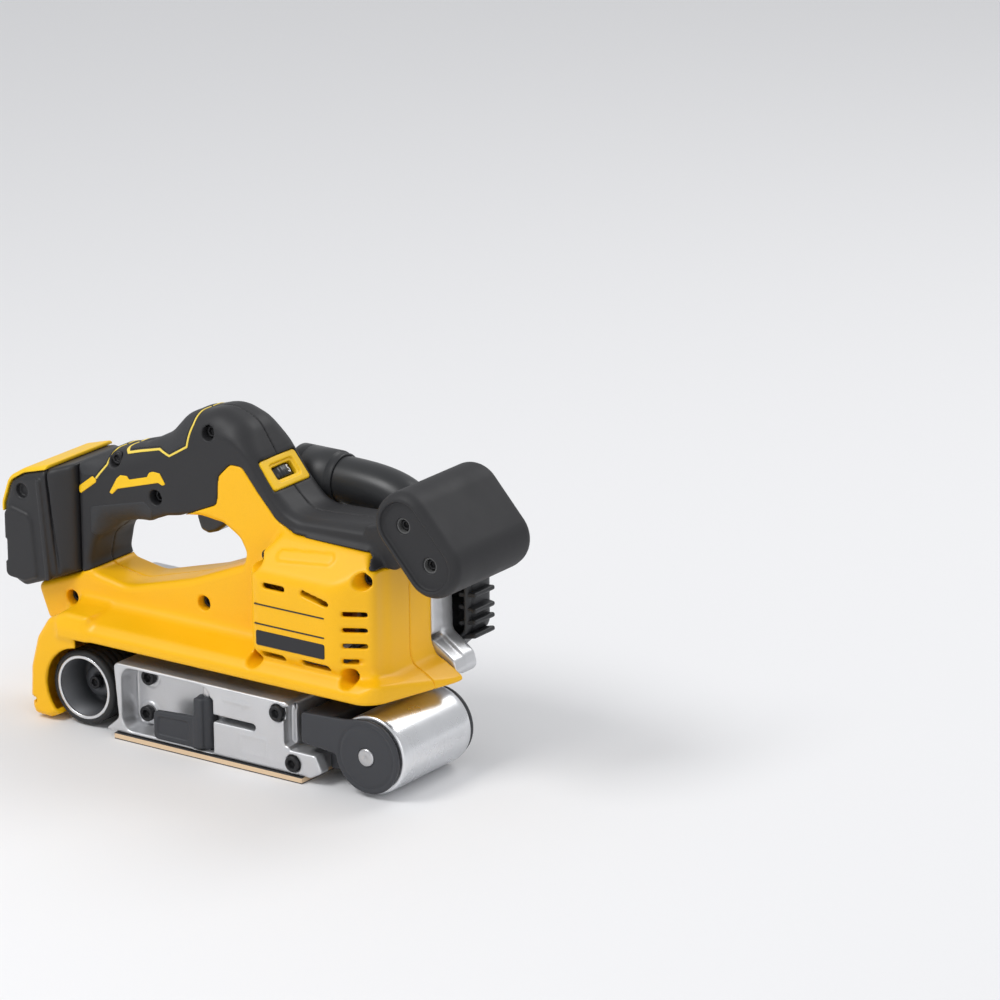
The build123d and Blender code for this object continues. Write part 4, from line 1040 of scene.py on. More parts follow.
# ------------------------------------------------------------------ battery dock
@dataclass
class BatteryDock:
    """The block behind the neck that a battery slides onto, with its soft yellow rim."""

    box: Span = field(default_factory=lambda: Span.of("battery_dock"))
    rim_box: Span = field(default_factory=lambda: Span.of("dock_bumper"))
    outline: tuple[Point, ...] = (
        (-107.4, 82.2), (-139.4, 70.4), (-146, 73), (-152, 86), (-152, 117), (-147, 131),
        (-137, 137), (-107.4, 145))
    screw: Point = (-138.5, 126.5)
    corners: tuple[float, ...] = (0.5, 4, 6, 6, 8, 8, 10, 1)
    panel: tuple[Point, ...] = (
        (-151, 75), (-151, 112), (-147, 117), (-134, 114), (-131, 110), (-128, 78), (-138, 74))
    rim_back: float = 9.0
    rim_height: float = 2.5
    side_edge: float = 5.0
    neck_waist: float = 9.0
    bay_half: float = 23.0
    rail_at: float = 21.5
    rail_half: float = 2.5

    def build(self) -> None:
        """Makes the dock with its bay, rails and side panels, and the rim."""
        low, high = self.box.low, self.box.high
        middle = (low[1] + high[1]) / 2
        g = Grid((-157, low[1] - 4, 66), (-102, high[1] + 4, 150), pitch(0.75, 1.2))
        flat = g.outline(rounded(self.outline, self.corners))
        shape = g.prism(flat, low[1], high[1], self.side_edge)
        neck = ease(g.x, -122.0, -106.0) * self.neck_waist
        shape = common(shape, np.abs(g.y - middle) - (high[1] - low[1]) / 2 + neck, 6.0)
        panel = rounded(self.panel, 3.5)
        for side, edge in ((-1, low[1]), (1, high[1])):
            ends = sorted((edge - side * 0.2, edge - side * 9.0))
            plate = g.prism(panel, *ends, 1.6)
            shape = join(shape, plate, 1.0)
            groove = np.maximum(np.abs(g.outline(panel) - 1.6) - 0.55, g.between("y", edge - 1.1, edge + 1.1))
            shape = without(shape, groove, 0.6)
            rib = g.line([(-121.5, 141), (-115.5, 82)]) - 0.7
            shape = without(shape, np.maximum(rib, np.abs(g.y - edge) - 4.5), 1.2)
            rib = g.line([(-125.5, 134), (-120.5, 79)]) - 1.5
            shape = join(shape, g.round_off(rib, np.abs(g.y - edge + side * 1.0) - 1.4, 0.6), 1.8)
            shape = without(shape, g.rod(self.screw, 4.0, edge - 5.0, edge + 5.0), 1.2)
            notch = g.block((-156, -149.3), (edge - 7, edge + 7), (84, 97), 0.8)
            shape = without(shape, notch, 0.6)
        bay = g.block((-160, -141), (middle - self.bay_half, middle + self.bay_half), (60, 126), 1.0)
        shape = without(shape, bay, 1.2)
        for side in (-1, 1):
            y = middle + side * self.rail_at
            rail = g.block((-151.8, -148), (y - self.rail_half, y + self.rail_half), (86, 118), 0.6)
            shape = join(shape, rail, 0.5)
        shape = without(shape, g.block((-137, -100), (middle - 14, middle + 14), (92, 132)), 0.5)
        shape = without(shape, g.block((-143, -136), (middle - 12, middle + 12), (94, 122), 0.2))
        dress(g.surface(shape, "dock_block"), DOCK, "casing", "battery_dock")
        self._rim()

    def _rim(self) -> None:
        """Makes the rim, which follows the dock's top edge."""
        low, high = self.rim_box.low, self.rim_box.high
        g = Grid((low[0] - 2, low[1] - 2, low[2] - 2), (high[0] + 2, high[1] + 2, high[2] + 2),
                 pitch(0.5, 1.0))
        inner = g.outline(rounded(self.outline, self.corners))
        shape = common(g.prism(inner - self.rim_height, low[1], high[1], 3.0), -inner + 0.05, 0.5)
        shape = common(shape, low[2] - g.z, 1.0)
        shape = common(shape, g.x - high[0] + self.rim_back, 1.0)
        dress(g.surface(shape, "dock_rim"), ACCENT, "casing", "dock_bumper")


# ------------------------------------------------------------------ speed wheel
@dataclass
class SpeedWheel:
    """The thumb wheel on the slope under the hump, in its raised frame."""

    casing: Casing
    radius: float = 12.0
    width: float = 6.6
    teeth: int = 24
    sink: float = 11.4
    bore: float = 2.03
    figure: str = "5"
    figure_size: float = 6.4
    figure_shift: float = 4.0
    groove: float = 0.35
    bevel: float = 0.6

    @property
    def axes(self) -> tuple[Vector, Vector, Vector]:
        """Centre of the wheel, the way out of the slope and the way down it."""
        nx, nz = self.casing.slope_normal
        out, down = Vector((nx, 0, nz)), Vector((nz, 0, -nx))
        at = Vector((self.casing.slope_at[0], self.casing.middle, self.casing.slope_at[1]))
        return at - out * self.sink, out, down

    def build(self) -> None:
        """Makes the frame, the wheel and its figure."""
        box = Span.of("dial_bezel")
        g = Grid(tuple(v - 3 for v in box.low), tuple(v + 3 for v in box.high), pitch(0.42, 0.9))
        nx, nz = self.casing.slope_normal
        out = (g.x - self.casing.slope_at[0]) * nx + (g.z - self.casing.slope_at[1]) * nz
        down = (g.x - self.casing.slope_at[0]) * nz - (g.z - self.casing.slope_at[1]) * nx
        across = g.y - self.casing.middle

        def plate(long: float, wide: float, corner: float) -> Array:
            """A rounded oblong on the slope.

            Args:
                long: half its length down the slope.
                wide: half its width across it.
                corner: radius of its corners.

            Returns:
                Distances to the oblong.
            """
            u, v = np.abs(down) - long + corner, np.abs(across) - wide + corner
            return np.hypot(np.maximum(u, 0), np.maximum(v, 0)) + np.minimum(np.maximum(u, v), 0) - corner

        arch = 0.6 - (across / 16.0) ** 2 * 0.9
        frame_flat = plate(9.2, 15.9, 2.2)
        shape = g.round_off(frame_flat, np.maximum(out - 1.0 - arch, -3.0 - out), 0.9)
        dished = np.maximum(plate(5.4, 10.2, 2.0), 0.2 - out)
        shape = without(shape, dished, 1.0)
        shape = without(shape, plate(3.9, 8.7, 1.4), 0.5)
        dress(g.surface(shape.astype(np.float32), "wheel_frame"), ACCENT, "casing", "dial_bezel")
        self._wheel()

    def _wheel(self) -> None:
        """Makes the ribbed wheel and the figure on its rim."""
        centre, out, down = self.axes
        side = Vector((0, 1, 0))
        shape = bmesh.new()
        rings = []
        steps = self.teeth * 6
        half = self.width / 2
        for along, inset in ((-half, self.bevel), (-half + self.bevel, 0.0), (half - self.bevel, 0.0),
                             (half, self.bevel)):
            ring = []
            for k in range(steps):
                angle = 2 * math.pi * k / steps
                dip = self.groove * max(0.0, math.cos(angle * self.teeth)) ** 3
                reach = self.radius - inset - dip
                place = centre + (side * math.cos(angle) + out * math.sin(angle)) * reach + down * along
                ring.append(shape.verts.new(place * MM))
            rings.append(ring)
        bore = [[shape.verts.new((centre + (side * math.cos(2 * math.pi * k / steps)
                                            + out * math.sin(2 * math.pi * k / steps)) * self.bore
                                  + down * along) * MM) for k in range(steps)]
                for along in (half, -half)]
        loops = rings + bore
        for first, second in zip(loops, loops[1:] + loops[:1]):
            for k in range(steps):
                face = shape.faces.new((first[k], first[(k + 1) % steps], second[(k + 1) % steps], second[k]))
                face.smooth = True
        bmesh.ops.recalc_face_normals(shape, faces=shape.faces)
        mesh = bpy.data.meshes.new("thumb_wheel")
        shape.to_mesh(mesh)
        shape.free()
        dress(link("thumb_wheel", mesh), WHEEL, "dial", "speed_dial")
        self._figure()

    def _figure(self) -> None:
        """Makes the setting's figure, bent onto the wheel's rim."""
        curve = bpy.data.curves.new("setting_figure", "FONT")
        curve.body, curve.size, curve.extrude = self.figure, self.figure_size, 0.12
        curve.align_x, curve.align_y, curve.offset = "CENTER", "CENTER", 0.10
        piece = bpy.data.objects.new("setting_figure", curve)
        bpy.context.scene.collection.objects.link(piece)
        graph = bpy.context.evaluated_depsgraph_get()
        mesh = bpy.data.meshes.new_from_object(piece.evaluated_get(graph), depsgraph=graph)
        bpy.data.objects.remove(piece)
        centre, out, down = self.axes
        side = Vector((0, 1, 0))
        for point in mesh.vertices:
            x, y, z = point.co
            angle = (x + self.figure_shift) / self.radius
            reach = self.radius + 0.05 + z
            place = centre + (out * math.cos(angle) + side * math.sin(angle)) * reach - down * y
            point.co = place * MM
        dress(link("wheel_figure", mesh), FIGURE, "dial")


# ------------------------------------------------------------------ platen frame and lever
@dataclass
class PlatenFrame:
    """The cast frame between the rollers, with the tension lever in its bay."""

    box: Span = field(default_factory=lambda: Span.of("platen_frame"))
    pin: Span = field(default_factory=lambda: Span.of("lever_pin"))
    lever: Span = field(default_factory=lambda: Span.of("tension_lever"))
    outline: tuple[Point, ...] = (
        (-72, 4.4), (-63, 12), (-66, 44), (55, 44), (55, 17.2), (72.5, 17.2), (77, 8), (69, 3.6),
        (-70, 3.6))
    pocket: tuple[float, float, float, float] = (-60.5, 1.2, 4.8, 42.0)
    floor: float = -23.0
    arrow: tuple[Point, ...] = (
        (10.5, 36.4), (23.5, 36.4), (23.5, 34.8), (29.5, 37.4), (23.5, 40.0), (23.5, 38.4),
        (10.5, 38.4))
    badge: tuple[Point, ...] = ((20.5, 8.5), (20.5, 21.0), (41.0, 21.0), (41.0, 8.5))
    edge_radius: float = 1.3
    barrel: float = 5.4
    barrel_room: float = 8.35
    pin_bore: float = 2.53
    bay_top: float = 36.2
    blade_thick: float = 3.8
    thread_bore: float = 2.7
    face_seat: float = 2.5
    deep_screws: tuple[Point, ...] = ((-48.9, 35.5), (-50.4, 14.1))
    face_screws: tuple[Point, ...] = ((47.5, 37.0), (57.7, 10.0))

    def build(self) -> None:
        """Makes the casting, its badge and the lever."""
        near, far = self.box.low[1], self.box.high[1]
        g = Grid((-75, near - 2, 1), (80, far + 2, 46), pitch(0.78, 1.2))
        flat = g.outline(rounded(self.outline, [1, 4, 3, 3, 1.5, 1.5, 2, 2, 0.5]))
        shape = g.prism(flat, near, far, self.edge_radius)
        x0, x1, z0, z1 = self.pocket
        bay = g.outline(rounded([(x0, z0 + 1), (x0, z1), (x1, z1), (x1, z0 + 1)], 7.0))
        taper = 1.6 * ease(g.y, near, self.floor)
        shape = without(shape, g.prism((bay + taper), near - 9, self.floor, 1.0), 1.6)
        px, py = self.pin.centre[0], self.pin.centre[1]
        shape = without(shape, g.rod((px, py), self.barrel_room, z0, self.bay_top, across="z"), 0.8)
        shape = without(shape, g.block((px - 5, px + 8.1), (near - 2, py), (z0, self.bay_top), 1.0), 0.8)
        slot = g.outline(capsule((0, 25.2), (30.4, 25.2), 1.9))
        shape = without(shape, g.prism(slot, near - 5, -10, 0.2), 1.2)
        shape = without(shape, g.block((6, 90), (-16, 16), (21.5, 34)), 0.6)
        shape = without(shape, g.block((67, 90), (-28, 28), (3.9, 21)), 0.6)
        shape = without(shape, g.block((7, 50), (20, 60), (8, 40), 1.5), 1.0)
        shape = without(shape, g.block((-56, 0), (self.floor + 4, 60), (8, 40), 2.0), 1.0)
        shape = without(shape, g.block((6, 54), (-32, 34), (38.2, 41.5), 0.3))
        for x, z in self.deep_screws:
            post = np.maximum(g.rod((x, z), 6.2, self.floor - 1.0, far), flat)
            shape = without(join(shape, post, 1.5), g.rod((x, z), self.thread_bore, near - 5, 60))
        for x, z in self.face_screws:
            post = np.maximum(g.rod((x, z), 6.0, near + 1.5, far), flat)
            shape = without(join(shape, post, 0.5), g.rod((x, z), 4.9, near - 5, near + self.face_seat), 0.6)
            shape = without(shape, g.rod((x, z), self.thread_bore, near - 5, 60))
        arrow = g.outline(self.arrow)
        badge = g.outline(rounded(self.badge, 1.5))
        line = np.abs(badge + 1.2) - 0.45
        for mark in (arrow, line):
            shape = join(shape, g.prism(mark, near - 0.4, near + 1.5, 0.3), 0.4)
        step = g.outline(rounded([(51.5, 19), (51.5, 41.5), (60, 41.5), (60, 19)], 2.0))
        shape = without(shape, g.prism(step, near - 5, near + 8.0, 0.6), 1.2)
        shape = np.maximum(shape, 3.62 - g.z)
        shape = without(shape, g.rod((px, py), self.pin_bore, 3.0, 43.6, 0.1, across="z"))
        dress(g.surface(shape, "frame_casting"), CASTING, "casing", "platen_frame")
        self._lever()

    def _lever(self) -> None:
        """Makes the dark lever: a barrel on the pin, an arm and a broad finger blade."""
        low, high = self.lever.low, self.lever.high
        px, py = self.pin.centre[0], self.pin.centre[1]
        g = Grid(tuple(v - 2 for v in low), tuple(v + 2 for v in high), pitch(0.42, 0.9))
        shape = g.rod((px, py), self.barrel, low[2], high[2], 0.8, across="z")
        blade = g.outline(rounded([(low[0], 5.4), (low[0], 21.5), (px - 6, 23.2), (px - 1, 23.2),
                                   (px - 1, 5.4)], [2.5, 2.5, 2, 1, 1]))
        shape = join(shape, g.prism(blade, low[1], low[1] + self.blade_thick, 0.9), 2.0)
        arm = g.block((px - 5.0, px + 1.0), (low[1], py), (24.5, high[2]), 1.2)
        shape = join(shape, arm, 1.5)
        shape = join(shape, g.block((px - 5.0, px + 1.0), (low[1], py), (5.6, 25), 1.2), 1.5)
        dish = g.prism(rounded([(-34.5, 8.6), (-34.5, 18.5), (-13, 19.5), (-13, 8.6)], 2.0),
                       low[1] - 5, low[1] + 0.7, 0.3)
        shape = without(shape, dish, 1.0)
        shape = without(shape, g.rod((px, py), self.pin_bore, low[2] - 9, high[2] + 9, 0.1, across="z"))
        dress(g.surface(shape, "lever_blade"), GRAPHITE, "lever", "tension_lever")


# ------------------------------------------------------------------ rollers
@dataclass
class Rollers:
    """The rear drum with its tyre, and the front roller in its yoke."""

    tyre: Span = field(default_factory=lambda: Span.of("drum_rubber"))
    idler: Span = field(default_factory=lambda: Span.of("idler_roller"))
    yoke: Span = field(default_factory=lambda: Span.of("idler_yoke"))
    axle: Span = field(default_factory=lambda: Span.of("idler_axle"))
    rim: float = 18.5
    bore: float = 16.6
    web_depth: float = 23.0
    groove_count: int = 12
    bearing_seat: float = 11.02
    arm: tuple[Point, ...] = ((63, 23), (63, 40.6), (92, 42.0), (104, 44.2), (106, 24), (90, 17), (85, 21))
    arm_radii: tuple[float, ...] = (2, 2, 12, 2, 2, 3, 3)
    cheek: float = 20.8
    cheek_near: float = 32.5
    axle_head: float = 5.0
    axle_shank: float = 4.0

    def build(self) -> None:
        """Makes drum, tyre, roller, yoke and axle."""
        self._tyre()
        self._hub()
        self._roller()
        self._yoke()
        self._axle()

    def _tyre(self) -> None:
        """Makes the rubber tyre, its ends eased and its face ground with fine grooves."""
        radius, low, high = self.tyre.size[2] / 2, self.tyre.low[1], self.tyre.high[1]
        face = [(radius - 1.6, low), (radius - 0.5, low + 0.5), (radius, low + 1.6)]
        step = (high - low - 8) / self.groove_count
        for k in range(self.groove_count):
            at = low + 4 + step * k
            face += [(radius, at), (radius - 0.35, at + 0.35), (radius - 0.35, at + 0.8), (radius, at + 1.15)]
        face += [(radius, high - 1.6), (radius - 0.5, high - 0.5), (radius - 1.6, high)]
        profile = face + [(self.rim + 0.02, high), (self.rim + 0.02, low)]
        dress(lathe("drum_tyre", profile, self.tyre.centre, steps=120), TYRE, "drum", "drum_rubber")

    def _hub(self) -> None:
        """Makes the drum's dark body and the bright ring at its open end."""
        low, high = self.tyre.low[1], self.tyre.high[1]
        web = low + self.web_depth
        profile = [(self.rim, low + 1.2), (self.rim, high), (self.bore, high - 0.6), (self.bore, web + 5),
                   (9.5, web + 5), (6.02, web + 5), (6.02, web - 4), (2.3, web - 4), (2.3, web - 9.6),
                   (8.2, web - 9.6), (9.2, web - 8.8), (9.5, web - 1.5), (10.5, web), (14.6, web),
                   (self.bore, web - 2.0), (self.bore - 0.1, low + 1.2)]
        dress(lathe("drum_body", profile, self.tyre.centre), HUB, "drum", "drum_core")
        ring = [(self.rim - 0.02, low + 1.2), (self.rim - 0.02, low + 0.3), (self.rim - 0.35, low),
                (self.bore + 0.35, low), (self.bore, low + 0.35), (self.bore, low + 1.2)]
        dress(lathe("drum_ring", ring, self.tyre.centre), ROLLER, "drum")

    def _roller(self) -> None:
        """Makes the turned front roller with its crowned ends."""
        radius, low, high = self.idler.size[2] / 2, self.idler.low[1], self.idler.high[1]
        seat = self.bearing_seat
        profile = [(radius - 1.4, low), (radius - 0.4, low + 0.35), (radius, low + 1.3), (radius, low + 5),
                   (radius, high - 5), (radius, high - 1.3), (radius - 0.4, high - 0.35),
                   (radius - 1.4, high), (11.8, high), (seat, high - 0.6), (seat, high - 8),
                   (radius - 3, high - 8.5), (radius - 3, low + 8.5), (seat, low + 8), (seat, low + 0.6),
                   (11.8, low)]
        dress(lathe("roller_shell", profile, self.idler.centre, steps=144), ROLLER, "idler", "idler_roller")

    def _yoke(self) -> None:
        """Makes the dark fork: a round plate with an arm each side, and a bridge."""
        low, high = self.yoke.low, self.yoke.high
        ax, az = self.axle.centre[0], self.axle.centre[2]
        g = Grid((low[0] - 2, low[1] - 2, low[2] - 2), (high[0] + 2, high[1] + 2, high[2] + 2),
                 pitch(0.75, 1.2))
        arm = rounded(self.arm, self.arm_radii)
        plate = np.minimum(g.outline(arm), np.hypot(g.x - ax, g.z - az) - self.cheek)
        shape = np.full((1, 1, 1), 9.0, np.float32)
        for side in (-1, 1):
            ends = sorted((side * self.cheek_near, side * high[1]))
            shape = np.minimum(shape, g.prism(plate, *ends, 1.1))
            rim = np.abs(np.hypot(g.x - ax, g.z - az) - 17.6) - 0.5
            edge = side * high[1]
            shape = without(shape, np.maximum(rim, np.abs(g.y - edge) - 0.45), 0.6)
        shape = join(shape, g.block((63, 81), (-33, 33), (22.2, 40), 1.2), 1.5)
        shape = join(shape, g.block((75.5, 83.6), (-26, 26), (8, 24), 1.2), 1.0)
        shape = without(shape, g.block((60, 76.5), (-9.8, 9.8), (20, 31.8), 0.3))
        shape = without(shape, g.rod((70, 0), 3.05, 30, 42, across="z"))
        shape = without(shape, g.rod((ax, az), 5.03, -40, 40, 0.1))
        clear = self.idler.size[2] / 2 + 1.2
        shape = without(shape, g.rod((ax, az), clear, -32.2, 32.2, 0.1))
        dress(g.surface(shape, "roller_yoke"), GRAPHITE, "yoke", "idler_yoke")

    def _axle(self) -> None:
        """Makes the axle with its chamfered, centre-drilled ends."""
        end = self.axle.high[1]
        head, shank = self.axle_head, self.axle_shank
        half = [(0, end - 1.0), (1.0, end - 0.1), (1.3, end), (head - 0.6, end), (head, end - 0.6),
                (head, end - 4.6), (shank, end - 4.6)]
        profile = half + [(r, -y) for r, y in reversed(half)]
        dress(lathe("roller_axle", profile, self.axle.centre), GROUND, "yoke", "idler_axle")


# ------------------------------------------------------------------ repeated parts
Radius = float | Callable[[float], float]


def turned(name: str, rings: Sequence[tuple[Radius, float]], steps: int = 96) -> bpy.types.Object:
    """Makes a body about the Y axis at the origin from rings that needn't be round.

    Args:
        name: the new object's name.
        rings: a radius, or a radius for each angle, and its place along Y; the ends are closed.
        steps: points in each ring.

    Returns:
        The mesh object.
    """
    shape = bmesh.new()
    loops = []
    for radius, along in rings:
        angles = [2 * math.pi * k / steps for k in range(steps)]
        reach = [radius(a) if callable(radius) else radius for a in angles]
        loops.append([shape.verts.new(Vector((r * math.cos(a), along, r * math.sin(a))) * MM)
                      for r, a in zip(reach, angles)])
    for first, second in zip(loops, loops[1:]):
        for k in range(steps):
            face = shape.faces.new((first[k], first[(k + 1) % steps], second[(k + 1) % steps], second[k]))
            face.smooth = True
    shape.faces.new(loops[0])
    shape.faces.new(loops[-1])
    bmesh.ops.recalc_face_normals(shape, faces=shape.faces)
    mesh = bpy.data.meshes.new(name)
    shape.to_mesh(mesh)
    shape.free()
    return link(name, mesh)


def hexagon(flats: float) -> Callable[[float], float]:
    """The radius of a hexagon for each angle, from half its width across flats."""
    return lambda angle: flats / math.cos((angle % (math.pi / 3)) - math.pi / 6)


def socket_screw(radius: float, height: float, shank: float) -> bpy.types.Object:
    """A cap screw whose head starts at the origin and rises towards -Y.

    Args:
        radius: the head's radius in millimetres.
        height: the head's height.
        shank: the shank's length.

    Returns:
        The screw, about the Y axis.
    """
    socket = hexagon(radius * 0.52)
    return turned("screw_stamp", [
        (radius * 0.45, shank), (radius * 0.55, shank - 0.5), (radius * 0.55, 0.02), (radius - 0.15, 0.0),
        (radius, -0.2), (radius, -height + 0.5), (radius - 0.5, -height), (radius * 0.68, -height),
        (lambda angle: socket(angle) + 0.15, -height + 0.15), (socket, -height + 0.35),
        (socket, -height * 0.35), (radius * 0.3, -height * 0.25)], 72)


def placing_group() -> bpy.types.NodeTree:
    """The node group that stands a copy of a part on every point.

    Returns:
        The node group, made on the first call.
    """
    made = bpy.data.node_groups.get("stand on points")
    if made:
        return made
    group = bpy.data.node_groups.new("stand on points", "GeometryNodeTree")
    for label, kind in (("Points", "NodeSocketGeometry"), ("Part", "NodeSocketObject"),
                        ("Turn", "NodeSocketRotation"), ("Size", "NodeSocketFloat"),
                        ("Seed", "NodeSocketInt"), ("Finish", "NodeSocketMaterial")):
        group.interface.new_socket(label, in_out="INPUT", socket_type=kind)
    group.interface.new_socket("Parts", in_out="OUTPUT", socket_type="NodeSocketGeometry")
    nodes, links = group.nodes, group.links
    inputs, outputs = nodes.new("NodeGroupInput"), nodes.new("NodeGroupOutput")
    part, stand = nodes.new("GeometryNodeObjectInfo"), nodes.new("GeometryNodeInstanceOnPoints")
    spin, roll = nodes.new("FunctionNodeRandomValue"), nodes.new("FunctionNodeRotateRotation")
    euler, real = nodes.new("FunctionNodeEulerToRotation"), nodes.new("GeometryNodeRealizeInstances")
    paint = nodes.new("GeometryNodeSetMaterial")
    roll.rotation_space = "LOCAL"
    spin.data_type = "FLOAT_VECTOR"
    spin.inputs[0].default_value = (0, -0.5, 0)
    spin.inputs[1].default_value = (0, 0.5, 0)
    links.new(inputs.outputs["Seed"], spin.inputs["Seed"])
    links.new(spin.outputs[0], euler.inputs[0])
    links.new(inputs.outputs["Turn"], roll.inputs["Rotation"])
    links.new(euler.outputs[0], roll.inputs["Rotate By"])
    links.new(inputs.outputs["Points"], stand.inputs["Points"])
    links.new(inputs.outputs["Part"], part.inputs["Object"])
    links.new(part.outputs["Geometry"], stand.inputs["Instance"])
    links.new(roll.outputs[0], stand.inputs["Rotation"])
    links.new(inputs.outputs["Size"], stand.inputs["Scale"])
    links.new(stand.outputs["Instances"], real.inputs[0])
    links.new(real.outputs[0], paint.inputs["Geometry"])
    links.new(inputs.outputs["Finish"], paint.inputs["Material"])
    links.new(paint.outputs[0], outputs.inputs[0])
    return group


def stand_on(name: str, part: bpy.types.Object, places: Iterable[Sequence[float]], finish: Finish,
             turn: tuple[float, float, float] = (0, 0, 0), seed: int = 3) -> bpy.types.Object:
    """Stands a copy of a part on each place and removes the part itself.

    Args:
        name: the new object's name.
        part: the part, at the origin.
        places: where the copies go, in millimetres.
        finish: their finish.
        turn: how they are turned, in degrees.
        seed: seed of the small turn about each copy's own axis.

    Returns:
        One mesh object with every copy.
    """
    mesh = bpy.data.meshes.new(name)
    mesh.from_pydata([tuple(v * MM for v in place) for place in places], [], [])
    piece = link(name, mesh)
    modifier = piece.modifiers.new("copies", "NODES")
    group = placing_group()
    modifier.node_group = group
    sockets = {item.name: item.identifier for item in group.interface.items_tree if item.in_out == "INPUT"}
    modifier[sockets["Part"]] = part
    modifier[sockets["Turn"]] = tuple(math.radians(v) for v in turn)
    modifier[sockets["Size"]] = 1.0
    modifier[sockets["Seed"]] = seed
    modifier[sockets["Finish"]] = finish.material()
    settle(piece)
    bpy.data.objects.remove(part)
    return piece


def pipe_group() -> bpy.types.NodeTree:
    """The node group that sweeps a round wall along a curve.

    Returns:
        The node group.
    """
    group = bpy.data.node_groups.new("pipe along", "GeometryNodeTree")
    for label, kind in (("Path", "NodeSocketGeometry"), ("Radius", "NodeSocketFloat"),
                        ("Steps", "NodeSocketInt"), ("Finish", "NodeSocketMaterial")):
        group.interface.new_socket(label, in_out="INPUT", socket_type=kind)
    group.interface.new_socket("Pipe", in_out="OUTPUT", socket_type="NodeSocketGeometry")
    nodes, links = group.nodes, group.links
    inputs, outputs = nodes.new("NodeGroupInput"), nodes.new("NodeGroupOutput")
    ring, sweep = nodes.new("GeometryNodeCurvePrimitiveCircle"), nodes.new("GeometryNodeCurveToMesh")
    real, paint = nodes.new("GeometryNodeRealizeInstances"), nodes.new("GeometryNodeSetMaterial")
    links.new(inputs.outputs["Radius"], ring.inputs["Radius"])
    links.new(inputs.outputs["Steps"], ring.inputs["Resolution"])
    links.new(inputs.outputs["Path"], sweep.inputs["Curve"])
    links.new(ring.outputs["Curve"], sweep.inputs["Profile Curve"])
    links.new(sweep.outputs[0], real.inputs[0])
    links.new(real.outputs[0], paint.inputs["Geometry"])
    links.new(inputs.outputs["Finish"], paint.inputs["Material"])
    links.new(paint.outputs[0], outputs.inputs[0])
    return group


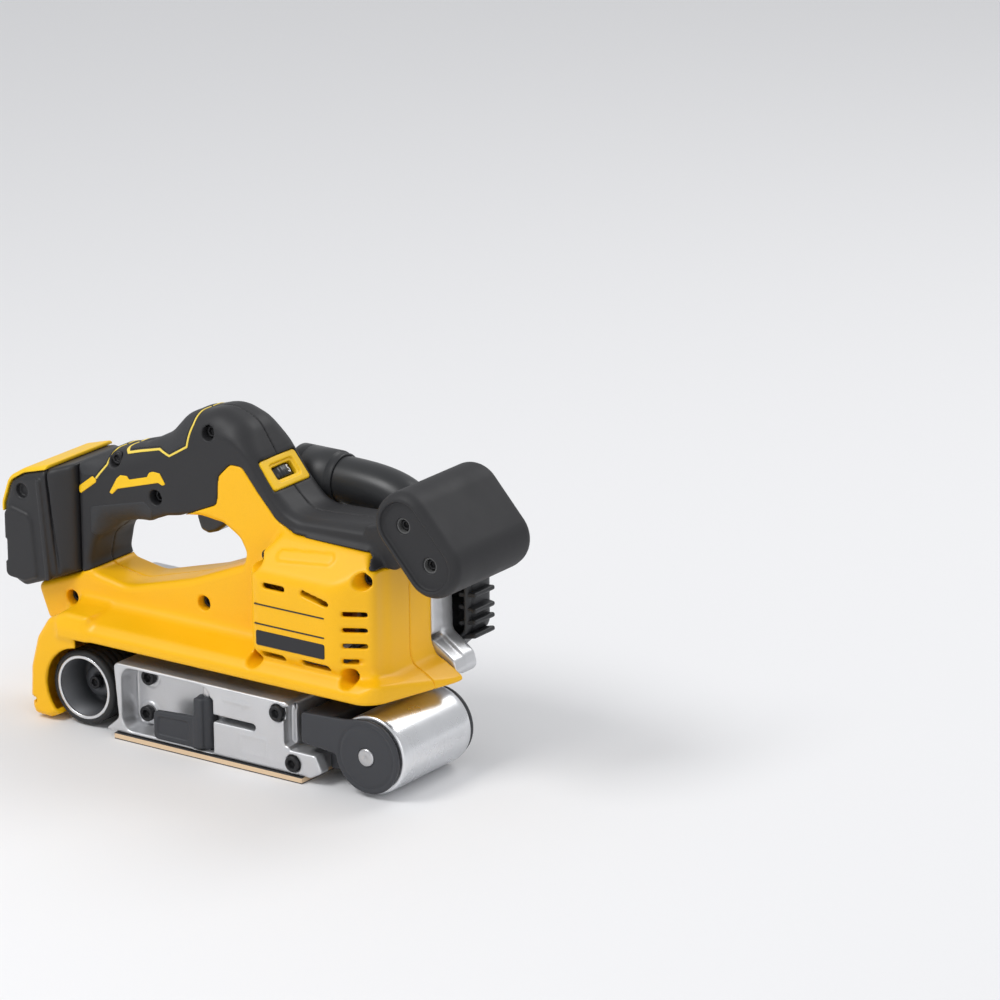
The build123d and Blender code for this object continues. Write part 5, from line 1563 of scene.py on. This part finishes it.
# ------------------------------------------------------------------ drive side
@dataclass
class DriveSide:
    """The light casting along the far side, the black cover on it, and the tracking knob."""

    cast: Span = field(default_factory=lambda: Span.of("drive_casting"))
    cover: Span = field(default_factory=lambda: Span.of("drive_cover"))
    knob: Span = field(default_factory=lambda: Span.of("tracking_knob"))
    drum: Span = field(default_factory=lambda: Span.of("drum_rubber"))
    motor: Span = field(default_factory=lambda: Span.of("rotor_core"))
    edge: tuple[Point, ...] = (
        (-110, 3), (-118, 22), (-114, 56), (-104, 72), (-72, 72), (-50, 68), (14, 74), (30, 126),
        (92, 128), (103, 116), (104, 72), (118, 62), (121, 52), (108, 49), (96, 46), (92, 4))
    upper: tuple[Point, ...] = ((24, 72), (30, 126), (92, 128), (103, 116), (104, 72))
    shelf: tuple[Point, ...] = (
        (-96, 52.2), (-100, 70), (-72, 70), (-50, 66), (104, 70), (118, 61), (121, 52.2))
    pocket: tuple[Point, ...] = (
        (-104, 9), (-110, 22), (-107, 52), (-99, 66), (-74, 66), (-50, 62), (20, 68), (36, 120),
        (88, 122), (97, 112), (97, 70), (86, 60), (84, 10))
    front: tuple[Point, ...] = (
        (20, 60), (30, 54), (96, 54), (113, 70), (113, 118), (104, 127), (34, 127))
    bridge: tuple[Point, ...] = ((-94.3, 42.6), (30, 112), (62, 54), (-85.3, 3.4))
    screws: tuple[Point, ...] = ((-91.3, 50), (31, 101), (98, 100), (60, 61))
    tracking: Point = (74, 30)
    plate: Point = (39.0, 50.0)
    inner: float = 30.1
    pocket_floor: float = 43.0
    motor_bore: float = 9.52
    motor_seat: float = 12.5
    drum_bore: float = 11.02
    drum_tube: float = 14.5
    post: float = 4.5
    cover_depth: Point = (50.05, 74.0)
    cover_wall: float = 2.8
    well: float = 3.5
    well_floor: float = 69.0
    fin_count: int = 6
    fin_step: float = 8.0

    def build(self) -> None:
        """Makes casting, cover, fins, screws and knob."""
        self._casting()
        self._cover()
        self._fins()
        self._knob()

    def _casting(self) -> None:
        """Makes the casting with its pocket, bearing seats and posts."""
        low, high = self.cast.low, self.cast.high
        g = Grid((low[0] - 2, low[1] - 2, low[2] - 2), (high[0] + 2, high[1] + 2, high[2] + 2),
                 pitch(0.95, 1.6))
        dx, dz = self.drum.centre[0], self.drum.centre[2]
        mx, mz = self.motor.centre[0], self.motor.centre[2]
        shape = g.prism(rounded(self.edge, 5.0), *self.plate, 1.4)
        shape = join(shape, g.prism(rounded(self.upper, 4.0), self.inner, 40, 1.0), 1.0)
        shape = join(shape, g.prism(rounded(self.shelf, 3.0), self.inner, 40, 1.0), 1.0)
        shape = without(shape, g.prism(rounded(self.pocket, 4.0), self.pocket_floor, 60, 0.8), 0.8)
        shape = without(shape, g.block((37, 95), (32.5, 44), (81, 117), 3.0), 0.6)
        shape = join(shape, g.rod((mx, mz), 16.5, 29, 44), 1.5)
        shape = join(shape, g.rod((dx, dz), self.drum_tube, low[1], 48), 2.0)
        for x, z in self.screws:
            shape = join(shape, g.rod((x, z), self.post, 42, 50), 1.5)
        shape = join(shape, g.rod(self.tracking, 6.0, *self.plate), 1.0)
        shape = without(shape, g.rod((mx, mz), self.motor_seat, 29, 39.2), 0.2)
        shape = without(shape, g.rod((mx, mz), self.motor_bore, 20, 60, 0.1))
        shape = without(shape, g.rod((dx, dz), self.drum_bore, 9, 60), 0.2)
        shape = without(shape, g.rod((dx, dz), 7.5, 0, 60), 0.2)
        shape = without(shape, g.rod(self.tracking, 2.6, 20, 60))
        dress(g.surface(shape, "side_casting"), CASTING, "casing", "drive_casting")

    def _cover(self) -> None:
        """Makes the hollow black cover with its stepped edge and screw wells."""
        low, high = self.cover.low, self.cover.high
        g = Grid((low[0] - 2, low[1] - 2, low[2] - 2), (high[0] + 2, high[1] + 2, high[2] + 2),
                 pitch(1.0, 1.6))
        dx, dz = self.drum.centre[0], self.drum.centre[2]
        flat = join(g.outline(rounded(self.front, 8.0)), np.hypot(g.x - dx, g.z - dz) - 20.3, 2.0)
        flat = join(flat, g.outline(rounded(self.bridge, 1.0)), 12.0)
        flat = join(flat, np.hypot(g.x - self.screws[0][0], g.z - self.screws[0][1]) - 6.5, 6.0)
        shape = g.prism(flat, *self.cover_depth, 4.0)
        seam = np.maximum(np.abs(flat) - 1.1, np.abs(g.y - 55.2) - 0.9)
        shape = without(shape, seam, 0.5)
        raised = g.prism(flat + 13.0, 70, 74.9, 0.9)
        shape = join(shape, raised, 1.0)
        shape = without(shape, g.prism(flat + self.cover_wall, 40, 71.2, 3.0))
        for x, z in self.screws:
            shape = join(shape, np.maximum(g.rod((x, z), 4.6, self.cover_depth[0], 72), flat), 0.6)
            shape = without(shape, g.rod((x, z), self.well, self.well_floor, 90), 0.6)
            shape = without(shape, g.rod((x, z), 1.8, 40, 90))
        dress(g.surface(shape, "side_cover"), SHELL, "casing", "drive_cover")
        heads = stand_on("cover_screw_heads", socket_screw(3.2, 3.0, 18.0),
                         [(x, self.well_floor, z) for x, z in self.screws], OXIDE, (0, 0, 180))
        dress(heads, OXIDE, "casing", "cover_screws")

    def _fins(self) -> None:
        """Stands the cooling fins along the cover's front edge."""
        g = Grid((-8, -12, -3), (8, 12, 3), pitch(0.4, 0.8))
        fin = g.surface(g.block((-6.0, 6.0), (-9.5, 9.5), (-1.4, 1.4), 1.2), "fin_stamp")
        rows = [(111.5, 61.0, 67.5 + self.fin_step * row) for row in range(self.fin_count)]
        dress(stand_on("cover_fins", fin, rows, SHELL), SHELL, "casing")

    def _knob(self) -> None:
        """Makes the tracking knob with its finger grooves."""
        x, z = self.knob.centre[0], self.knob.centre[2]
        low, high = self.knob.low[1], self.knob.high[1]
        radius = self.knob.size[0] / 2

        def grip(inset: float, depth: float) -> Callable[[float], float]:
            """The radius of a ring with twelve finger grooves, for each angle."""
            return lambda angle: radius - inset - depth * max(0.0, math.cos(angle * 12)) ** 2

        knob = turned("tracking_wheel", [
            (7.5, low), (grip(1.0, 0.2), low + 0.1), (grip(0.2, 0.9), low + 1.2), (grip(0, 1.1), low + 3),
            (grip(0, 1.1), high - 3), (grip(0.3, 0.9), high - 1.2), (grip(1.4, 0.4), high - 0.2), (8.2, high),
            (7.4, high - 0.8), (3.0, high - 1.4)], 144)
        for point in knob.data.vertices:
            point.co += Vector((x, 0, z)) * MM
        dress(knob, SHELL, "tracking", "tracking_knob")


# ------------------------------------------------------------------ dust outlet
@dataclass
class DustOutlet:
    """The bent tube from the deck and the sleeve that a nozzle goes into."""

    y: float = 44.5
    z: float = 146.0
    outer: float = 13.2
    wall: float = 2.4
    foot: float = 15.2
    sleeve: float = 15.5
    bore: float = 13.4

    def build(self) -> None:
        """Makes tube, foot ring and sleeve."""
        curve = bpy.data.curves.new("dust_path", "CURVE")
        curve.dimensions, curve.resolution_u = "3D", 24
        spline = curve.splines.new("BEZIER")
        spline.bezier_points.add(2)
        knots = (((30, self.z), (20, self.z), (42, self.z)), ((74, 141.5), (62, 146.5), (82, 138)),
                 ((86, 128.4), (86, 133), (86, 124)))
        for point, (at, before, after) in zip(spline.bezier_points, knots):
            point.co, point.handle_left, point.handle_right = (
                Vector((x, self.y, z)) * MM for x, z in (at, before, after))
        piece = bpy.data.objects.new("dust_tube", curve)
        bpy.context.scene.collection.objects.link(piece)
        graph = bpy.context.evaluated_depsgraph_get()
        modifier = piece.modifiers.new("pipe", "NODES")
        group = pipe_group()
        modifier.node_group = group
        sockets = {i.name: i.identifier for i in group.interface.items_tree if i.in_out == "INPUT"}
        modifier[sockets["Radius"]] = self.outer * MM
        modifier[sockets["Steps"]] = 72
        modifier[sockets["Finish"]] = SHELL.material()
        graph.update()
        mesh = bpy.data.meshes.new_from_object(piece.evaluated_get(graph), depsgraph=graph)
        bpy.data.objects.remove(piece)
        for face in mesh.polygons:
            face.use_smooth = True
        tube = link("dust_tube", mesh)
        shell = tube.modifiers.new("wall", "SOLIDIFY")
        shell.thickness, shell.offset = self.wall * MM, -1.0
        dress(soften(settle(tube), 0.5), SHELL, "casing", "dust_elbow")
        foot = [(13.0, 128.4), (self.foot, 128.4), (self.foot, 130.4), (14.6, 131.0), (13.0, 131.0)]
        dress(lathe("dust_foot", foot, (86, self.y, 0), "z"), SHELL, "casing")
        out, bore = self.sleeve, self.bore
        sleeve = [(bore, 6.6), (13.9, 6.0), (14.9, 6.0), (out, 6.6), (out, 12.0), (15.1, 12.4),
                  (15.1, 13.0), (out, 13.4), (out, 31.4), (15.0, 32.0), (14.6, 32.2), (14.6, 35.4),
                  (14.2, 36.0), (13.22, 36.0), (13.22, 30.0), (bore, 30.0)]
        dress(lathe("dust_sleeve", sleeve, (0, self.y, self.z), "x"), SHELL, "casing", "dust_collar")


# ------------------------------------------------------------------ hand parts
@dataclass
class FrontHandle:
    """The rubber front handle on its two cheeks."""

    box: Span = field(default_factory=lambda: Span.of("knob_grip"))
    centre: Point = (135.5, 145.5)
    tilt: float = -48.0
    length: float = 62.0
    thick: float = 36.0
    corner: float = 17.0
    pivot: Point = (113.0, 138.0)
    pivot_room: float = 11.2
    well: float = 4.3
    dish_inset: float = 5.0
    dish_depth: float = 3.0
    screws: tuple[Point, ...] = ((127.0, 155.0), (144.0, 136.0))

    def oval(self, g: Grid, inset: float) -> Array:
        """Distance to the handle's side view, inset all round.

        Args:
            g: the block to measure on.
            inset: how far inside the side view the outline lies.

        Returns:
            Distances to the outline.
        """
        turn = math.radians(self.tilt)
        u = (g.x - self.centre[0]) * math.cos(turn) + (g.z - self.centre[1]) * math.sin(turn)
        v = -(g.x - self.centre[0]) * math.sin(turn) + (g.z - self.centre[1]) * math.cos(turn)
        a = np.abs(u) - self.length / 2 + self.corner
        b = np.abs(v) - self.thick / 2 + self.corner
        swell = np.hypot(np.maximum(a, 0), np.maximum(b, 0)) + np.minimum(np.maximum(a, b), 0)
        return swell - self.corner + inset

    def build(self) -> None:
        """Makes the sleeve with its dished end, its saddle and its screws."""
        low, high = self.box.low, self.box.high
        g = Grid(tuple(v - 2 for v in low), tuple(v + 2 for v in high), pitch(0.85, 1.3))
        shape = g.prism(self.oval(g, 0.0), low[1], high[1], 7.0)
        dish = g.prism(self.oval(g, self.dish_inset), low[1] - 9, low[1] + self.dish_depth, 0.6)
        shape = without(shape, dish, 1.2)
        for x, z in self.screws:
            shape = without(shape, g.rod((x, z), self.well, low[1] - 5, low[1] + 9.0), 0.8)
        for limits in ((-12.8, -2.9), (18.9, 28.8)):
            shape = without(shape, g.rod(self.pivot, self.pivot_room, *limits), 0.8)
        saddle = g.block((95, 131), (-12.4, 28.4), (118, 152), 1.0)
        shape = without(shape, np.maximum(saddle, self.oval(g, 8.0)), 0.5)
        shape = without(shape, g.block((95, 131), (-3, 19), (118, 152), 0.6), 0.8)
        dress(g.surface(shape, "handle_sleeve"), SLEEVE, "front_handle", "knob_grip")
        heads = stand_on("handle_screw_heads", socket_screw(3.0, 2.6, 18.0),
                         [(x, low[1] + 8.6, z) for x, z in self.screws], OXIDE)
        dress(heads, OXIDE, "front_handle", "knob_screws")


@dataclass
class Controls:
    """The trigger in the handle's loop and the lock button beside it."""

    lock: Span = field(default_factory=lambda: Span.of("lock_button"))
    pin: Span = field(default_factory=lambda: Span.of("trigger_pin"))
    outline: tuple[Point, ...] = (
        (-18, 133), (-6, 133), (-5, 126), (-13, 123), (-20, 117.5), (-26, 115.5), (-31, 117),
        (-33.5, 124), (-33, 132))
    corners: tuple[float, ...] = (2, 2, 3, 14, 10, 2.5, 3, 3, 2)

    def build(self) -> None:
        """Makes trigger and button."""
        g = Grid((-41, -2, 106), (-8, 18, 134), pitch(0.4, 0.8))
        flat = g.outline(rounded(self.outline, self.corners))
        shape = g.prism(flat, 0.05, 15.95, 3.0)
        x, z = self.pin.centre[0], self.pin.centre[2]
        shape = without(shape, g.rod((x, z), 2.05, 1.0, 15.0, 0.1))
        dress(g.surface(shape, "trigger_lever_cover"), GLOSSY, "trigger_lever", "trigger")
        profile = [(0.0, 1.2), (1.6, 1.2), (2.0, 1.6), (2.0, 14.4), (1.6, 14.8), (0.0, 14.8)]
        dress(lathe("trigger_hinge", profile, (x, 0, z)), GROUND, "casing", "trigger_pin")
        x, z = self.lock.centre[0], self.lock.centre[2]
        low, high = self.lock.low[1], self.lock.high[1]
        profile = [(0.0, low), (4.6, low), (5.0, low + 0.4), (5.0, high - 1.0), (4.0, high),
                   (3.4, high - 0.2), (0.0, high - 0.7)]
        dress(lathe("lock_cap", profile, (x, 0, z)), GLOSSY, "lock", "lock_button")


# ------------------------------------------------------------------ screws and label
@dataclass
class Fasteners:
    """The cap screws of the casing, the frame and the drum."""

    casing: Casing
    frame: PlatenFrame
    drum: Span = field(default_factory=lambda: Span.of("drum_screw"))
    body_floor: float = -15.2
    grip_floor: float = -4.7

    def build(self) -> None:
        """Stands the screws in their wells."""
        wells = [(x, self.body_floor, z) for x, z in self.casing.body_screws]
        piece = stand_on("body_screw_heads", socket_screw(3.6, 3.0, 30.0), wells, OXIDE)
        dress(piece, OXIDE, "casing", "housing_screws")
        wells = [(x, self.grip_floor, z) for x, z in self.casing.spine_screws + self.casing.grip_screws]
        dress(stand_on("grip_screw_heads", socket_screw(3.6, 2.6, 20.0), wells, OXIDE), OXIDE, "casing")
        near = self.frame.box.low[1]
        wells = [(x, self.frame.floor, z) for x, z in self.frame.deep_screws]
        wells += [(x, near + self.frame.face_seat, z) for x, z in self.frame.face_screws]
        piece = stand_on("frame_screw_heads", socket_screw(4.4, 4.4, 40.0), wells, OXIDE)
        dress(piece, OXIDE, "casing", "frame_screws")
        x, z = self.drum.centre[0], self.drum.centre[2]
        piece = stand_on("drum_screw_head", socket_screw(3.6, 3.5, 10.0),
                         [(x, self.drum.low[1] + 3.5, z)], OXIDE)
        dress(piece, OXIDE, "drum", "drum_screw")


@dataclass
class Label:
    """The blank dark strip and two thin lines on the motor housing."""

    plate: Span = field(default_factory=lambda: Span.of("rating_plate"))
    lines: tuple[float, ...] = (96.3, 85.2)
    ends: Point = (32.4, 78.6)
    line_half: float = 0.38

    def build(self) -> None:
        """Makes the strip and the lines."""
        low, high = self.plate.low, self.plate.high
        g = Grid(tuple(v - 1.5 for v in low), tuple(v + 1.5 for v in high), pitch(0.35, 0.6))
        corners = [(low[0], low[2]), (low[0], high[2]), (high[0], high[2]), (high[0], low[2])]
        flat = g.outline(rounded(corners, 1.2))
        dress(g.surface(g.prism(flat, high[1] - 0.45, high[1] + 0.4, 0.25), "blank_strip"), LABEL, "casing",
              "rating_plate")
        for number, z in enumerate(self.lines, 1):
            g = Grid((31, high[1] - 1.2, z - 1.2), (80, high[1] + 1.2, z + 1.2), pitch(0.22, 0.5))
            flat = g.outline(capsule((self.ends[0], z), (self.ends[1], z), self.line_half))
            dress(g.surface(g.prism(flat, high[1] - 0.4, high[1] + 0.6, 0.15), f"label_line_{number}"), LABEL,
                  "casing")


# ------------------------------------------------------------------ studio
@dataclass
class Studio:
    """The pale floor, the soft lights and the camera."""

    azimuth: float = 35.34
    height: float = 17.84
    roll: float = -0.52
    place: tuple[float, float, float] = (1881.58, -2412.43, 1122.07)
    lens: float = 212.5
    sensor: float = 36.0
    floor_half: float = 6.0
    aim: tuple[float, float, float] = (0, 0, 0.08)
    sky: float = 0.62

    def camera(self) -> None:
        """Sets the camera."""
        a, e, r = (math.radians(v) for v in (self.azimuth, self.height, self.roll))
        right = Vector((math.cos(a), math.sin(a), 0))
        forward = Vector((-math.sin(a) * math.cos(e), math.cos(a) * math.cos(e), -math.sin(e)))
        up = right.cross(forward)
        side = right * math.cos(r) + up * math.sin(r)
        top = -right * math.sin(r) + up * math.cos(r)
        data = bpy.data.cameras.new("view")
        data.lens, data.sensor_width = self.lens, self.sensor
        data.clip_start, data.clip_end = 0.05, 50.0
        eye = bpy.data.objects.new("view", data)
        eye.matrix_world = Matrix.Translation(Vector(self.place) * MM) @ Matrix(
            (side, top, -forward)).transposed().to_4x4()
        bpy.context.scene.collection.objects.link(eye)
        bpy.context.scene.camera = eye

    def light(self, name: str, at: Sequence[float], size: float, power: float) -> None:
        """Adds one soft light that faces the tool.

        Args:
            name: the light's name.
            at: its place in metres.
            size: its width in metres.
            power: its power in watts.
        """
        data = bpy.data.lights.new(name, "AREA")
        data.shape, data.size, data.energy = "DISK", size, power
        lamp = bpy.data.objects.new(name, data)
        lamp.location = Vector(at)
        lamp.rotation_euler = (Vector(self.aim) - lamp.location).to_track_quat("-Z", "Y").to_euler()
        bpy.context.scene.collection.objects.link(lamp)

    def floor(self) -> None:
        """Lays the pale floor."""
        mesh = bpy.data.meshes.new("floor")
        half = self.floor_half
        mesh.from_pydata([(-half, -half, 0), (half, -half, 0), (half, half, 0), (-half, half, 0)], [],
                         [(0, 1, 2, 3)])
        piece = link("floor", mesh)
        material = bpy.data.materials.new("pale floor")
        material.use_nodes = True
        shader = material.node_tree.nodes["Principled BSDF"]
        shader.inputs["Base Color"].default_value = (0.83, 0.83, 0.84, 1)
        shader.inputs["Roughness"].default_value = 0.7
        mesh.materials.append(material)

    def build(self) -> None:
        """Sets up everything round the tool."""
        self.floor()
        self.camera()
        self.light("key", (-0.5, -1.0, 1.5), 0.8, 15.0)
        self.light("fill", (1.6, -1.0, 0.7), 1.3, 4.0)
        self.light("back", (0.5, 1.2, 1.5), 0.9, 9.0)
        world = bpy.data.worlds.new("soft")
        world.use_nodes = True
        back = world.node_tree.nodes["Background"]
        back.inputs["Color"].default_value = (0.97, 0.98, 1.0, 1)
        back.inputs["Strength"].default_value = self.sky
        bpy.context.scene.world = world
        bpy.context.scene.view_settings.view_transform = "Standard"


def main() -> None:
    """Builds the looks round the frame and hands the scene over."""
    logging.basicConfig(level=logging.INFO)
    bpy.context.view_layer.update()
    casing, platen = Casing(), PlatenFrame()
    casing.build()
    casing.trim()
    for part in (BatteryDock(), SpeedWheel(casing), platen, Rollers(), DriveSide(), DustOutlet(),
                 FrontHandle(), Controls(), Fasteners(casing, platen), Label(), Studio()):
        part.build()
    for node, finish in NODE_FINISHES.items():
        for slot in frame["nodes"][node].material_slots:
            slot.material = finish.material()


if __name__ == "__main__":
    main()
